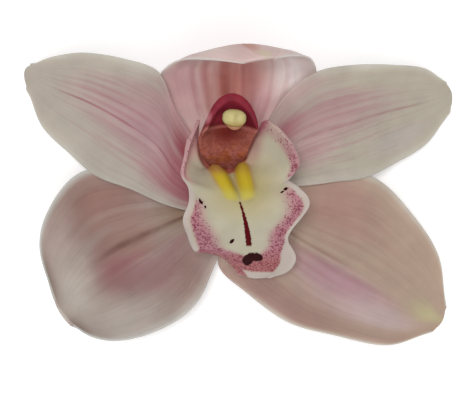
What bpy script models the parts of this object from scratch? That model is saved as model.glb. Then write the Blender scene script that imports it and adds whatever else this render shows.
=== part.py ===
"""One cymbidium bloom with the short stalk it was cut with, lying face up.

Blender 4.5. The frame is in metres: +Z comes out of the face of the bloom, +X runs along its
spread and +Y towards the hooded dorsal sepal. The origin is under the middle of the bloom's
box, on the surface that it lies on. The tables below are in millimetres.

The stalk with the ovary carries three sepals, two petals above them, the lip, and the column
with its anther cap and pollinarium. Each is a closed solid of its own.
"""

import math

import bmesh
import bpy
from mathutils import Vector

MM = 0.001

# The middle of the bloom's box in the tables, which becomes the origin
BLOOM_MIDDLE = Vector((0.0, -1.5, 0.0))

# Tissue and clearances
SEPAL_THICKNESS = 0.9
PETAL_THICKNESS = 0.8
LIP_THICKNESS = 0.8

# Stalk: the ovary tapers into the pedicel, which bends back along the surface
OVARY_RADIUS = 3.0
STALK_LINE = [
    (-0.4, 2.0, 10.2), (0.35, 1.5, 7.2), (2.7, -0.1, 4.8), (8.7, -4.2, 3.6), (18.5, -10.7, 2.7), (31.5, -19.5, 2.1),
]
STALK_RADII = [0.8, 0.92, 1.0, 0.96, 0.82, 0.7]
STALK_RINGS = 25

# Column: a rod that is hollowed in front and opens into a hood. Each station is the middle of
# its wall, its half width, the depth of its wings, half the thickness of its wall and the tilt
# of its section in degrees.
COLUMN_STATIONS = [
    ((-0.6, 2.0, 11.8), (2.0, 0.6, 1.8, 38)),
    ((-1.3, 4.4, 15.5), (2.6, 0.8, 1.8, 38)),
    ((-2.9, 8.0, 20.0), (4.2, 1.6, 1.6, 38)),
    ((-3.6, 12.0, 25.0), (5.6, 2.8, 1.3, 36)),
    ((-3.2, 16.2, 29.6), (6.2, 4.4, 1.2, 29)),
    ((-2.4, 19.9, 33.2), (6.2, 6.2, 1.1, 16)),
    ((-1.7, 22.3, 36.6), (6.1, 7.6, 1.1, 3)),
    ((-1.6, 22.5, 37.4), (6.0, 7.7, 0.7, 2)),
]
WING_ANGLE = math.radians(62)

# Anther cap and pollinarium: middle and half sizes
CAP_MIDDLE = (-1.1, 17.7, 37.4)
CAP_HALF_SIZE = (2.8, 2.0, 2.0)
CAP_GROOVE = 0.22
CAP_GROOVE_HALF_WIDTH = 0.28
CAP_SQUARENESS = 0.12
POLLINARIUM_MIDDLE = (-1.0, 15.6, 35.2)
POLLINARIUM_HALF_SIZE = (2.0, 0.7, 0.7)
POLLINARIUM_BEND = 0.18

# Blades: the left margin, the midrib and the right margin, each from the base to the tip,
# as seen from the base with the face of the blade up
LEFT_PETAL = (
    [(-4.4, 1, 13.3), (-9, -4, 14.2), (-17.5, -3, 14), (-27, 1, 12.5),
     (-36, 4.5, 10.5), (-43.5, 10.5, 7.5), (-50.5, 17.5, 4.5), (-54.5, 27, 2)],
    [(-4.2, 2.8, 13.3), (-9.5, 1, 14), (-15.5, 4.5, 15), (-21, 12, 15),
     (-29.5, 18, 12.5), (-38.5, 23, 9), (-47.5, 27, 5), (-55.5, 31.5, 0.8)],
    [(-4.1, 4.6, 13.5), (-9.5, 11.5, 16.6), (-15.5, 20.5, 20), (-19.5, 29.5, 21.2),
     (-28.5, 33.5, 16), (-38.5, 35.5, 11.5), (-47.5, 35, 6.5), (-53.4, 33.2, 2.3)],
)
RIGHT_PETAL = (
    [(2, 4.4, 13.5), (6, 15, 17.6), (11, 23.5, 20.6), (19.5, 29.8, 22),
     (28, 32, 15.5), (37.5, 32.5, 11.5), (47.5, 32, 7), (53.5, 28.5, 3)],
    [(2.5, 2.6, 13.3), (8, 7.5, 14.2), (14, 12, 15.5), (20.5, 15, 15),
     (28, 17.5, 13), (37, 20.5, 9), (46.5, 23, 5), (55.5, 25.5, 0.8)],
    [(2.9, 1, 13.3), (9.5, 1.5, 13.8), (17, 2, 14), (24.5, 3, 13),
     (32, 4, 11.3), (40.5, 8, 8.5), (48.5, 13, 5), (54.5, 21, 2.5)],
)
DORSAL_SEPAL = (
    [(-3, 4.7, 12), (-9.5, 9.5, 12.6), (-15.5, 18, 13.5), (-18.5, 24.5, 14.8),
     (-19.5, 29.2, 18.4), (-14.5, 31.4, 31), (-7, 31, 40), (1, 29.7, 45)],
    [(-0.5, 4.7, 12), (-0.5, 10, 12), (-0.5, 18, 14), (0, 25, 20),
     (0, 30.5, 28), (0, 33.2, 35.5), (1.5, 33.8, 41.5), (5.5, 30.5, 46)],
    [(2, 4.7, 12), (6, 9.5, 13), (13, 18, 13.8), (18.5, 24.5, 14.6),
     (19.5, 29.5, 17.6), (17, 32.2, 31), (12, 31.7, 40), (8, 30.8, 44.5)],
)
LEFT_SEPAL = (
    [(-1.8, -1.5, 11.6), (-2.6, -9.5, 10), (-6, -18, 9.6), (-10.5, -27, 11.5),
     (-17.5, -33, 13), (-27, -36, 16), (-35, -35.8, 19), (-40.2, -32.3, 21.5)],
    [(-2.5, 0.5, 12), (-9.5, -4, 9.5), (-17.5, -7.5, 5), (-25.5, -11, 1.6),
     (-32.5, -14.5, 1.6), (-38.5, -19.5, 6.5), (-42.4, -24.5, 13), (-43.3, -29.8, 19.5)],
    [(-4, 2, 12), (-12, 2.5, 10.5), (-22.5, 4.5, 9), (-32.5, 6.5, 8.5),
     (-41, 4.5, 9), (-47.5, -3.5, 11.5), (-49.5, -13.5, 14), (-45.4, -26.4, 18)],
)
RIGHT_SEPAL = (
    [(3, 2, 12), (8.5, 4, 12), (16.5, 5.5, 12), (25.5, 6, 11),
     (35.5, 3.5, 9.5), (44, -5, 9), (51, -16, 8.5), (52.5, -28.5, 8)],
    [(1.5, 0.5, 12), (6.5, -4.5, 11), (13.5, -11, 10), (21, -15.5, 9),
     (29, -20, 8), (37, -24.5, 7.5), (45, -29, 7.5), (52, -32.5, 7.5)],
    [(0, -1.5, 12.2), (-2.6, -9, 12), (-5, -18, 11.2), (2, -25, 11),
     (12.5, -32.5, 10), (24.5, -36, 9), (38, -38.5, 8.5), (49, -35, 8)],
)

# Lip: its left margin, middle and right margin, from the claw at the column's foot up the
# trough, past the side lobes and out to the tip of the mid-lobe
LIP = (
    [(-2.5, 0, 14.7), (-6, 3.5, 17.5), (-10.4, 8.5, 23), (-11.8, 12.6, 27.6), (-9.3, 17.5, 31.4), (-11.1, 12.8, 35.6),
     (-12, 8.3, 35.8), (-13.4, 4.4, 34.3), (-12, 1, 33.2), (-12, -2.3, 33), (-13.3, -6, 31.2),
     (-12.5, -9.8, 28.2), (-11, -13.5, 24.5), (-7.8, -14.2, 21), (-3.6, -16, 18.5), (0.4, -20, 16)],
    [(-0.6, -0.5, 14.7), (-1.4, 1.4, 16.8), (-2.2, 3.4, 19), (-2.6, 5, 21.5), (-2.6, 6, 24), (-2.4, 5.9, 26.3),
     (-1.8, 4.4, 28.9), (-0.7, 1.7, 31), (0.4, -1.1, 32.4), (1, -4, 32.8), (1.5, -7.4, 32),
     (2, -10.3, 30), (2.6, -13.2, 27), (3, -16, 23.5), (3.4, -18.6, 20), (4, -21.2, 16.5)],
    [(1.1, 0, 14.7), (3.6, 3.4, 17), (4.3, 8.7, 22.5), (4.4, 13.9, 28), (6.4, 17.3, 33), (11.8, 12.4, 34.8),
     (14, 7.4, 35), (12.8, 4.2, 33.4), (11.8, 3, 32.6), (14.4, 1.2, 34.3), (16.8, -2.6, 32.8),
     (12.5, -8.6, 29.5), (12, -11.6, 26.8), (14, -15.6, 23.2), (12, -19, 19), (7.8, -21, 16)],
)
# How the lip's cross-section turns from its floor into its margin: how far out, and how far
# along with the margin, in the trough and in the mid-lobe
TROUGH_END = 0.38
MID_LOBE_START = 0.53
TROUGH_TURN = (1.35, -0.3)
RIGHT_TROUGH_TURN = (0.5, -0.1)
MID_LOBE_TURN = (0.55, 0.2)

# Keels: two ridges on the lip's floor, which draw together from the trough to the crest. The
# distances are from the lip's middle line.
KEEL_HEIGHT = 2.4
KEEL_HALF_WIDTH = 1.6
KEEL_START = 0.27
KEEL_END = 0.54
KEEL_REAR_DISTANCE = 4.2
KEEL_FRONT_DISTANCE = 1.5

BLADE_GRID = (18, 10)
LIP_GRID = (46, 30)
LIP_CROWDING = 1.35
NORMAL_STEP = 0.004
MERGE_DISTANCE = 0.00001
COLUMN_GRID = (16, 20)


def through(points, t):
    """The point at t, from 0 to 1, of a smooth curve through evenly counted points."""
    last = len(points) - 1
    place = min(max(t, 0.0), 1.0) * last
    index = min(int(place), last - 1)
    f = place - index
    b = Vector(points[index])
    c = Vector(points[index + 1])
    a = Vector(points[index - 1]) if index > 0 else 2 * b - c
    d = Vector(points[index + 2]) if index + 2 <= last else 2 * c - b
    return 0.5 * (2 * b + (c - a) * f + (2 * a - 5 * b + 4 * c - d) * f * f + (3 * b - 3 * c + d - a) * f ** 3)


def eased(t, start, end):
    """0 before start, 1 after end and smooth between them."""
    f = min(max((t - start) / (end - start), 0.0), 1.0)
    return f * f * (3 - 2 * f)


def metres(point):
    """A point of the tables in metres from the origin."""
    return (point - BLOOM_MIDDLE) * MM


def material(name, colour, roughness):
    made = bpy.data.materials.new(name)
    made.use_nodes = True
    shader = made.node_tree.nodes["Principled BSDF"]
    shader.inputs["Base Color"].default_value = (*colour, 1.0)
    shader.inputs["Roughness"].default_value = roughness
    shader.inputs["Metallic"].default_value = 0.0
    return made


def new_object(name, mesh, parts, look):
    made = bpy.data.objects.new(name, mesh)
    mesh.materials.append(look)
    parts.objects.link(made)
    return made


def sheet(name, place, grid, thickness, parts, look):
    """A thin solid under the surface place(u, v), u from 0 to 1 along it, v from 1 to -1 across."""
    surface = bmesh.new()
    bmesh.ops.create_grid(surface, x_segments=grid[0], y_segments=grid[1], size=1.0)
    for point in surface.verts:
        point.co = metres(place((point.co.x + 1) / 2, point.co.y))
    bmesh.ops.triangulate(surface, faces=surface.faces)
    mesh = bpy.data.meshes.new(name)
    surface.to_mesh(mesh)
    surface.free()
    mesh.shade_smooth()
    made = new_object(name, mesh, parts, look)
    wall = made.modifiers.new("wall", "SOLIDIFY")
    wall.thickness = thickness * MM
    wall.offset = -1.0
    return made


def blade(name, rails, thickness, parts, look):
    """A sepal or petal: each cross-section is an even arc through its two margins and its midrib."""
    left, middle, right = rails

    def place(u, v):
        left_share = v * (v + 1) / 2
        right_share = v * (v - 1) / 2
        return through(left, u) * left_share + through(middle, u) * (1 - v * v) + through(right, u) * right_share

    return sheet(name, place, BLADE_GRID, thickness, parts, look)


def closed_body(name, mesh_data, parts, look):
    """Merges the seam of a wrapped grid, closes its ends and makes it an object."""
    bmesh.ops.remove_doubles(mesh_data, verts=mesh_data.verts, dist=MERGE_DISTANCE)
    bmesh.ops.holes_fill(mesh_data, edges=mesh_data.edges, sides=0)
    bmesh.ops.triangulate(mesh_data, faces=mesh_data.faces)
    bmesh.ops.recalc_face_normals(mesh_data, faces=mesh_data.faces)
    mesh = bpy.data.meshes.new(name)
    mesh_data.to_mesh(mesh)
    mesh_data.free()
    mesh.shade_smooth()
    return new_object(name, mesh, parts, look)


def lip_surface(u, v):
    """The lip's inner face without its keels: a trough that opens into the mid-lobe."""
    middle = through(LIP[1], u)
    margin = through(LIP[2] if v > 0 else LIP[0], u)
    opened = eased(u, TROUGH_END, MID_LOBE_START)
    out, forward = Vector(RIGHT_TROUGH_TURN if v > 0 else TROUGH_TURN).lerp(Vector(MID_LOBE_TURN), opened)
    turn = middle + Vector(((margin.x - middle.x) * out, (margin.y - middle.y) * forward, 0))
    t = abs(v)
    return middle * (1 - t) ** 2 + turn * (2 * t * (1 - t)) + margin * t * t


def keel_height(u, distance):
    """The height of the two keels at a distance from the middle line of the lip's floor."""
    if u < KEEL_START or u > KEEL_END:
        return 0.0
    along = (u - KEEL_START) / (KEEL_END - KEEL_START)
    ridge = KEEL_REAR_DISTANCE + (KEEL_FRONT_DISTANCE - KEEL_REAR_DISTANCE) * along
    across = (distance - ridge) / KEEL_HALF_WIDTH
    return KEEL_HEIGHT * math.sqrt(math.sin(math.pi * along)) * math.exp(-across * across)


def lip_normal(u, v):
    """The normal of the lip's inner face, which points out of the face of the bloom."""
    u = min(max(u, NORMAL_STEP), 1 - NORMAL_STEP)
    along = lip_surface(u + NORMAL_STEP, v) - lip_surface(u - NORMAL_STEP, v)
    across = lip_surface(u, v + NORMAL_STEP) - lip_surface(u, v - NORMAL_STEP)
    return along.cross(across).normalized()


def lip(parts, look):
    """The lip: its inner face carries the keels, its back is plain."""
    body = bmesh.new()
    for has_keels in (True, False):
        side = bmesh.ops.create_grid(body, x_segments=LIP_GRID[0], y_segments=LIP_GRID[1], size=1.0)
        for point in side["verts"]:
            u = (point.co.x + 1) / 2
            v = math.copysign(abs(point.co.y) ** LIP_CROWDING, point.co.y)
            here = lip_surface(u, v)
            shift = keel_height(u, (here - through(LIP[1], u)).length) if has_keels else -LIP_THICKNESS
            point.co = metres(here + lip_normal(u, v) * shift)
    bmesh.ops.bridge_loops(body, edges=[edge for edge in body.edges if edge.is_boundary])
    return closed_body("lip", body, parts, look)


def column(parts, look):
    """The column: a crescent section that grows from a round foot into the hood."""
    middles = [station[0] for station in COLUMN_STATIONS]
    forms = [station[1][:3] for station in COLUMN_STATIONS]
    tilts = [(station[1][3], 0, 0) for station in COLUMN_STATIONS]
    body = bmesh.new()
    bmesh.ops.create_grid(body, x_segments=COLUMN_GRID[0], y_segments=COLUMN_GRID[1], size=1.0)
    for point in body.verts:
        u = (point.co.x + 1) / 2
        turn = math.pi * (point.co.y + 1)
        tilt = math.radians(through(tilts, u).x)
        back = Vector((0, math.cos(tilt), -math.sin(tilt)))
        half_width, wing_depth, half_wall = through(forms, u)
        width_scale = half_width / math.sin(WING_ANGLE)
        depth_scale = wing_depth / (1 - math.cos(WING_ANGLE))
        angle = WING_ANGLE * math.cos(turn)
        outward = Vector((depth_scale * math.sin(angle), 0, 0)) + back * (width_scale * math.cos(angle))
        middle = through(middles, u)
        middle += Vector((width_scale * math.sin(angle), 0, 0)) - back * (depth_scale * (1 - math.cos(angle)))
        point.co = metres(middle + outward.normalized() * (half_wall * math.sin(turn)))
    return closed_body("column", body, parts, look)


def anther_cap(parts, look):
    """The cap under the hood: a rounded helmet with a groove down its middle."""
    body = bmesh.new()
    bmesh.ops.create_uvsphere(body, u_segments=20, v_segments=12, radius=1.0)
    for point in body.verts:
        x, y, z = point.co
        groove = 1 - CAP_GROOVE * math.exp(-((x / CAP_GROOVE_HALF_WIDTH) ** 2)) * max(z, 0.0)
        squared = 1 + CAP_SQUARENESS * math.sin(2 * math.atan2(abs(y), abs(x)))
        width, height, depth = CAP_HALF_SIZE
        point.co = metres(Vector(CAP_MIDDLE) + Vector((x * squared * width, y * squared * height, z * groove * depth)))
    return closed_body("anther_cap", body, parts, look)


def pollinarium(parts, look):
    """The small pale crescent that shows below the cap."""
    body = bmesh.new()
    bmesh.ops.create_uvsphere(body, u_segments=16, v_segments=8, radius=1.0)
    for point in body.verts:
        x, y, z = (value * half for value, half in zip(point.co, POLLINARIUM_HALF_SIZE))
        point.co = metres(Vector(POLLINARIUM_MIDDLE) + Vector((x, y + POLLINARIUM_BEND * x * x, z)))
    return closed_body("pollinarium", body, parts, look)


def stalk(parts, look):
    """The ovary and its pedicel: one tapered stalk with a plain cut end."""
    line = bpy.data.curves.new("stalk", "CURVE")
    line.dimensions = "3D"
    line.bevel_depth = OVARY_RADIUS * MM
    line.bevel_resolution = 4
    line.use_fill_caps = True
    spline = line.splines.new("POLY")
    spline.points.add(STALK_RINGS - 1)
    for index, point in enumerate(spline.points):
        t = index / (STALK_RINGS - 1)
        point.co = (*metres(through(STALK_LINE, t)), 1.0)
        point.radius = through([(radius, 0, 0) for radius in STALK_RADII], t).x
    made = bpy.data.objects.new("stalk", line)
    line.materials.append(look)
    parts.objects.link(made)
    return made


def main():
    for thing in list(bpy.data.objects):
        bpy.data.objects.remove(thing)
    parts = bpy.data.collections.new("cymbidium_bloom")
    bpy.context.scene.collection.children.link(parts)

    stalk(parts, material("stalk_green", (0.30, 0.36, 0.16), 0.5))
    blade("dorsal_sepal", DORSAL_SEPAL, SEPAL_THICKNESS, parts, material("dorsal_pink", (0.48, 0.30, 0.27), 0.55))
    blade("left_sepal", LEFT_SEPAL, SEPAL_THICKNESS, parts, material("left_sepal_blush", (0.38, 0.26, 0.22), 0.55))
    blade("right_sepal", RIGHT_SEPAL, SEPAL_THICKNESS, parts, material("right_sepal_blush", (0.42, 0.30, 0.26), 0.55))
    blade("left_petal", LEFT_PETAL, PETAL_THICKNESS, parts, material("left_petal_pink", (0.45, 0.35, 0.33), 0.55))
    blade("right_petal", RIGHT_PETAL, PETAL_THICKNESS, parts, material("right_petal_pink", (0.46, 0.35, 0.33), 0.55))
    lip(parts, material("lip_cream", (0.50, 0.46, 0.38), 0.5))
    column(parts, material("column_maroon", (0.19, 0.03, 0.04), 0.45))
    anther_cap(parts, material("cap_cream", (0.53, 0.42, 0.20), 0.45))
    pollinarium(parts, material("pollinarium_pale", (0.55, 0.42, 0.24), 0.4))


main()
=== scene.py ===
"""A cymbidium bloom with the short stalk it was cut with, lying face up on a pale surface.

The bloom is dressed in the frame of its solids: metres, +Z out of the face of the bloom, +X along
its spread and +Y towards the hooded dorsal sepal. The tables of shape are in millimetres.
"""

import logging
import math
from abc import ABC, abstractmethod
from dataclasses import dataclass
from enum import Enum
from functools import reduce
from typing import NamedTuple, Protocol, Sequence

import bmesh
import bpy
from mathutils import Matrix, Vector


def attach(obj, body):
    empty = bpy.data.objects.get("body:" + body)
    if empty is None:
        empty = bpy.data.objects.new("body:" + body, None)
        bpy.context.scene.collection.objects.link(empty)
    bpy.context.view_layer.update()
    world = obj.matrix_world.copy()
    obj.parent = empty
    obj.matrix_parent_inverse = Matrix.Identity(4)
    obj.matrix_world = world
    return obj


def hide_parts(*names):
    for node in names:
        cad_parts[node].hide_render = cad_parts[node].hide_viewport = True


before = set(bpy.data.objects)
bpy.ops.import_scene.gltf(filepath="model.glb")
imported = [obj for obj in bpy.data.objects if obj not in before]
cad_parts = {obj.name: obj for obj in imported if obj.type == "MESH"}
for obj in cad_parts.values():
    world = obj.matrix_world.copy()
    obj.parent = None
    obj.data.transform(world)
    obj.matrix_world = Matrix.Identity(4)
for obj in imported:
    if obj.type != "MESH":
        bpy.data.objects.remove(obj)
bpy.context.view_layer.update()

log = logging.getLogger("cymbidium")

Point = tuple[float, float, float]
Rail = Sequence[Point]
Rails = tuple[Rail, Rail, Rail]
Colour = tuple[float, float, float]
Socket = bpy.types.NodeSocket
Sockets = dict[str, Socket]
Value = Socket | float | tuple[float, ...]
Places = dict[bmesh.types.BMVert, tuple[float, float]]

MM = 0.001
BODY = "root"
UV_MAP = "along_across"

# Points closer than this, in metres, are joined where a tube closes
WELD = 0.00001

# The middle of the bloom's footprint in the tables, which is the origin of the frame
BLOOM_MIDDLE = Vector((0.0, -1.5, 0.0))

LEFT_PETAL_RAILS = (
    [(-4.4, 1, 13.3), (-9, -4, 14.2), (-17.5, -3, 14), (-27, 1, 12.5),
     (-36, 4.5, 10.5), (-43.5, 10.5, 7.5), (-50.5, 17.5, 4.5), (-54.5, 27, 2)],
    [(-4.2, 2.8, 13.3), (-9.5, 1, 14), (-15.5, 4.5, 15), (-21, 12, 15),
     (-29.5, 18, 12.5), (-38.5, 23, 9), (-47.5, 27, 5), (-55.5, 31.5, 0.8)],
    [(-4.1, 4.6, 13.5), (-9.5, 11.5, 16.6), (-15.5, 20.5, 20), (-19.5, 29.5, 21.2),
     (-28.5, 33.5, 16), (-38.5, 35.5, 11.5), (-47.5, 35, 6.5), (-53.4, 33.2, 2.3)],
)
RIGHT_PETAL_RAILS = (
    [(2, 4.4, 13.5), (6, 15, 17.6), (11, 23.5, 20.6), (19.5, 29.8, 22),
     (28, 32, 15.5), (37.5, 32.5, 11.5), (47.5, 32, 7), (53.5, 28.5, 3)],
    [(2.5, 2.6, 13.3), (8, 7.5, 14.2), (14, 12, 15.5), (20.5, 15, 15),
     (28, 17.5, 13), (37, 20.5, 9), (46.5, 23, 5), (55.5, 25.5, 0.8)],
    [(2.9, 1, 13.3), (9.5, 1.5, 13.8), (17, 2, 14), (24.5, 3, 13),
     (32, 4, 11.3), (40.5, 8, 8.5), (48.5, 13, 5), (54.5, 21, 2.5)],
)
DORSAL_SEPAL_RAILS = (
    [(-3, 4.7, 12), (-9.5, 9.5, 12.6), (-15.5, 18, 13.5), (-18.5, 24.5, 14.8),
     (-19.5, 29.2, 18.4), (-14.5, 31.4, 31), (-7, 31, 40), (1, 29.7, 45)],
    [(-0.5, 4.7, 12), (-0.5, 10, 12), (-0.5, 18, 14), (0, 25, 20),
     (0, 30.5, 28), (0, 33.2, 35.5), (1.5, 33.8, 41.5), (5.5, 30.5, 46)],
    [(2, 4.7, 12), (6, 9.5, 13), (13, 18, 13.8), (18.5, 24.5, 14.6),
     (19.5, 29.5, 17.6), (17, 32.2, 31), (12, 31.7, 40), (8, 30.8, 44.5)],
)
LEFT_SEPAL_RAILS = (
    [(-1.8, -1.5, 11.6), (-2.6, -9.5, 10), (-6, -18, 9.6), (-10.5, -27, 11.5),
     (-17.5, -33, 13), (-27, -36, 16), (-35, -35.8, 19), (-40.2, -32.3, 21.5)],
    [(-2.5, 0.5, 12), (-9.5, -4, 9.5), (-17.5, -7.5, 5), (-25.5, -11, 1.6),
     (-32.5, -14.5, 1.6), (-38.5, -19.5, 6.5), (-42.4, -24.5, 13), (-43.3, -29.8, 19.5)],
    [(-4, 2, 12), (-12, 2.5, 10.5), (-22.5, 4.5, 9), (-32.5, 6.5, 8.5),
     (-41, 4.5, 9), (-47.5, -3.5, 11.5), (-49.5, -13.5, 14), (-45.4, -26.4, 18)],
)
RIGHT_SEPAL_RAILS = (
    [(3, 2, 12), (8.5, 4, 12), (16.5, 5.5, 12), (25.5, 6, 11),
     (35.5, 3.5, 9.5), (44, -5, 9), (51, -16, 8.5), (52.5, -28.5, 8)],
    [(1.5, 0.5, 12), (6.5, -4.5, 11), (13.5, -11, 10), (21, -15.5, 9),
     (29, -20, 8), (37, -24.5, 7.5), (45, -29, 7.5), (52, -32.5, 7.5)],
    [(0, -1.5, 12.2), (-2.6, -9, 12), (-5, -18, 11.2), (2, -25, 11),
     (12.5, -32.5, 10), (24.5, -36, 9), (38, -38.5, 8.5), (49, -35, 8)],
)
LIP_RAILS = (
    [(-2.5, 0, 14.7), (-6, 3.5, 17.5), (-10.4, 8.5, 23), (-11.8, 12.6, 27.6),
     (-9.3, 17.5, 31.4), (-11.1, 12.8, 35.6), (-12, 8.3, 35.8), (-13.4, 4.4, 34.3),
     (-12, 1, 33.2), (-12, -2.3, 33), (-13.3, -6, 31.2), (-12.5, -9.8, 28.2),
     (-11, -13.5, 24.5), (-7.8, -14.2, 21), (-3.6, -16, 18.5), (0.4, -20, 16)],
    [(-0.6, -0.5, 14.7), (-1.4, 1.4, 16.8), (-2.2, 3.4, 19), (-2.6, 5, 21.5),
     (-2.6, 6, 24), (-2.4, 5.9, 26.3), (-1.8, 4.4, 28.9), (-0.7, 1.7, 31),
     (0.4, -1.1, 32.4), (1, -4, 32.8), (1.5, -7.4, 32), (2, -10.3, 30),
     (2.6, -13.2, 27), (3, -16, 23.5), (3.4, -18.6, 20), (4, -21.2, 16.5)],
    [(1.1, 0, 14.7), (3.6, 3.4, 17), (4.3, 8.7, 22.5), (4.4, 13.9, 28),
     (6.4, 17.3, 33), (11.8, 12.4, 34.8), (14, 7.4, 35), (12.8, 4.2, 33.4),
     (11.8, 3, 32.6), (14.4, 1.2, 34.3), (16.8, -2.6, 32.8), (12.5, -8.6, 29.5),
     (12, -11.6, 26.8), (14, -15.6, 23.2), (12, -19, 19), (7.8, -21, 16)],
)

STALK_LINE = (
    (-0.4, 2.0, 10.2), (0.35, 1.5, 7.2), (2.7, -0.1, 4.8),
    (8.7, -4.2, 3.6), (18.5, -10.7, 2.7), (31.5, -19.5, 2.1),
)


class Tissue(Enum):
    """The two kinds of blade, each with the thickness of its wall in millimetres."""

    SEPAL = 0.9
    PETAL = 0.8


class Ramp(NamedTuple):
    """A soft step: where it starts and ends, and its level before and after."""

    start: float
    end: float
    before: float = 0.0
    after: float = 1.0

    def share(self, t: float) -> float:
        """How much of the step lies below a value, from 0 to 1."""
        f = min(max((t - self.start) / (self.end - self.start), 0.0), 1.0)
        return f * f * (3 - 2 * f)


class Station(NamedTuple):
    """A section of the column's crescent wall.

    It is given by the middle of the wall, its half width, the depth of its wings, half its thickness
    and its tilt in degrees.
    """

    middle: Point
    half_width: float
    wing_depth: float
    half_wall: float
    tilt: float


def through(points: Rail, t: float) -> Vector:
    """A point of a smooth curve through evenly counted points.

    Args:
        points: the points that the curve passes.
        t: the place along the curve, from 0 to 1.

    Returns:
        The point at t.
    """
    last = len(points) - 1
    place = min(max(t, 0.0), 1.0) * last
    index = min(int(place), last - 1)
    f = place - index
    b = Vector(points[index])
    c = Vector(points[index + 1])
    a = Vector(points[index - 1]) if index > 0 else 2 * b - c
    d = Vector(points[index + 2]) if index + 2 <= last else 2 * c - b
    bend = 2 * a - 5 * b + 4 * c - d
    twist = 3 * b - 3 * c + d - a
    return 0.5 * (2 * b + (c - a) * f + bend * f * f + twist * f ** 3)


def metres(point: Vector) -> Vector:
    """A point of the tables in metres from the origin."""
    return (point - BLOOM_MIDDLE) * MM


def paint(red: int, green: int, blue: int) -> Colour:
    """A linear colour from its three display bytes."""
    return tuple(((value / 255 + 0.055) / 1.055) ** 2.4 for value in (red, green, blue))


def laid_out(body: bmesh.types.BMesh, grid: tuple[int, int]) -> Places:
    """Adds the flat grid that a piece is shaped from.

    Args:
        body: the mesh it goes into.
        grid: how many faces it has along the piece and across it.

    Returns:
        Each new vertex with its place along the piece, from 0 to 1, and across it, from -1 to 1.
    """
    made = bmesh.ops.create_grid(body, x_segments=grid[0], y_segments=grid[1], size=1.0)
    return {point: ((point.co.x + 1) / 2, point.co.y) for point in made["verts"]}


def map_places(body: bmesh.types.BMesh, places: Places) -> None:
    """Keeps the places of the vertices in the piece's UV map.

    Args:
        body: the piece's mesh.
        places: each vertex's place along the piece, from 0 to 1, and across it, from -1 to 1.
    """
    uv = body.loops.layers.uv.new(UV_MAP)
    for face in body.faces:
        for corner in face.loops:
            along, across = places[corner.vert]
            corner[uv].uv = (along, (across + 1) / 2)


def close_tube(body: bmesh.types.BMesh) -> list[bmesh.types.BMFace]:
    """Joins the two long edges of a grid that is rolled into a tube, and fills the tube's ends.

    Args:
        body: the rolled grid.

    Returns:
        The faces that fill the ends.
    """
    bmesh.ops.remove_doubles(body, verts=body.verts, dist=WELD)
    return bmesh.ops.holes_fill(body, edges=body.edges, sides=0)["faces"]


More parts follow.
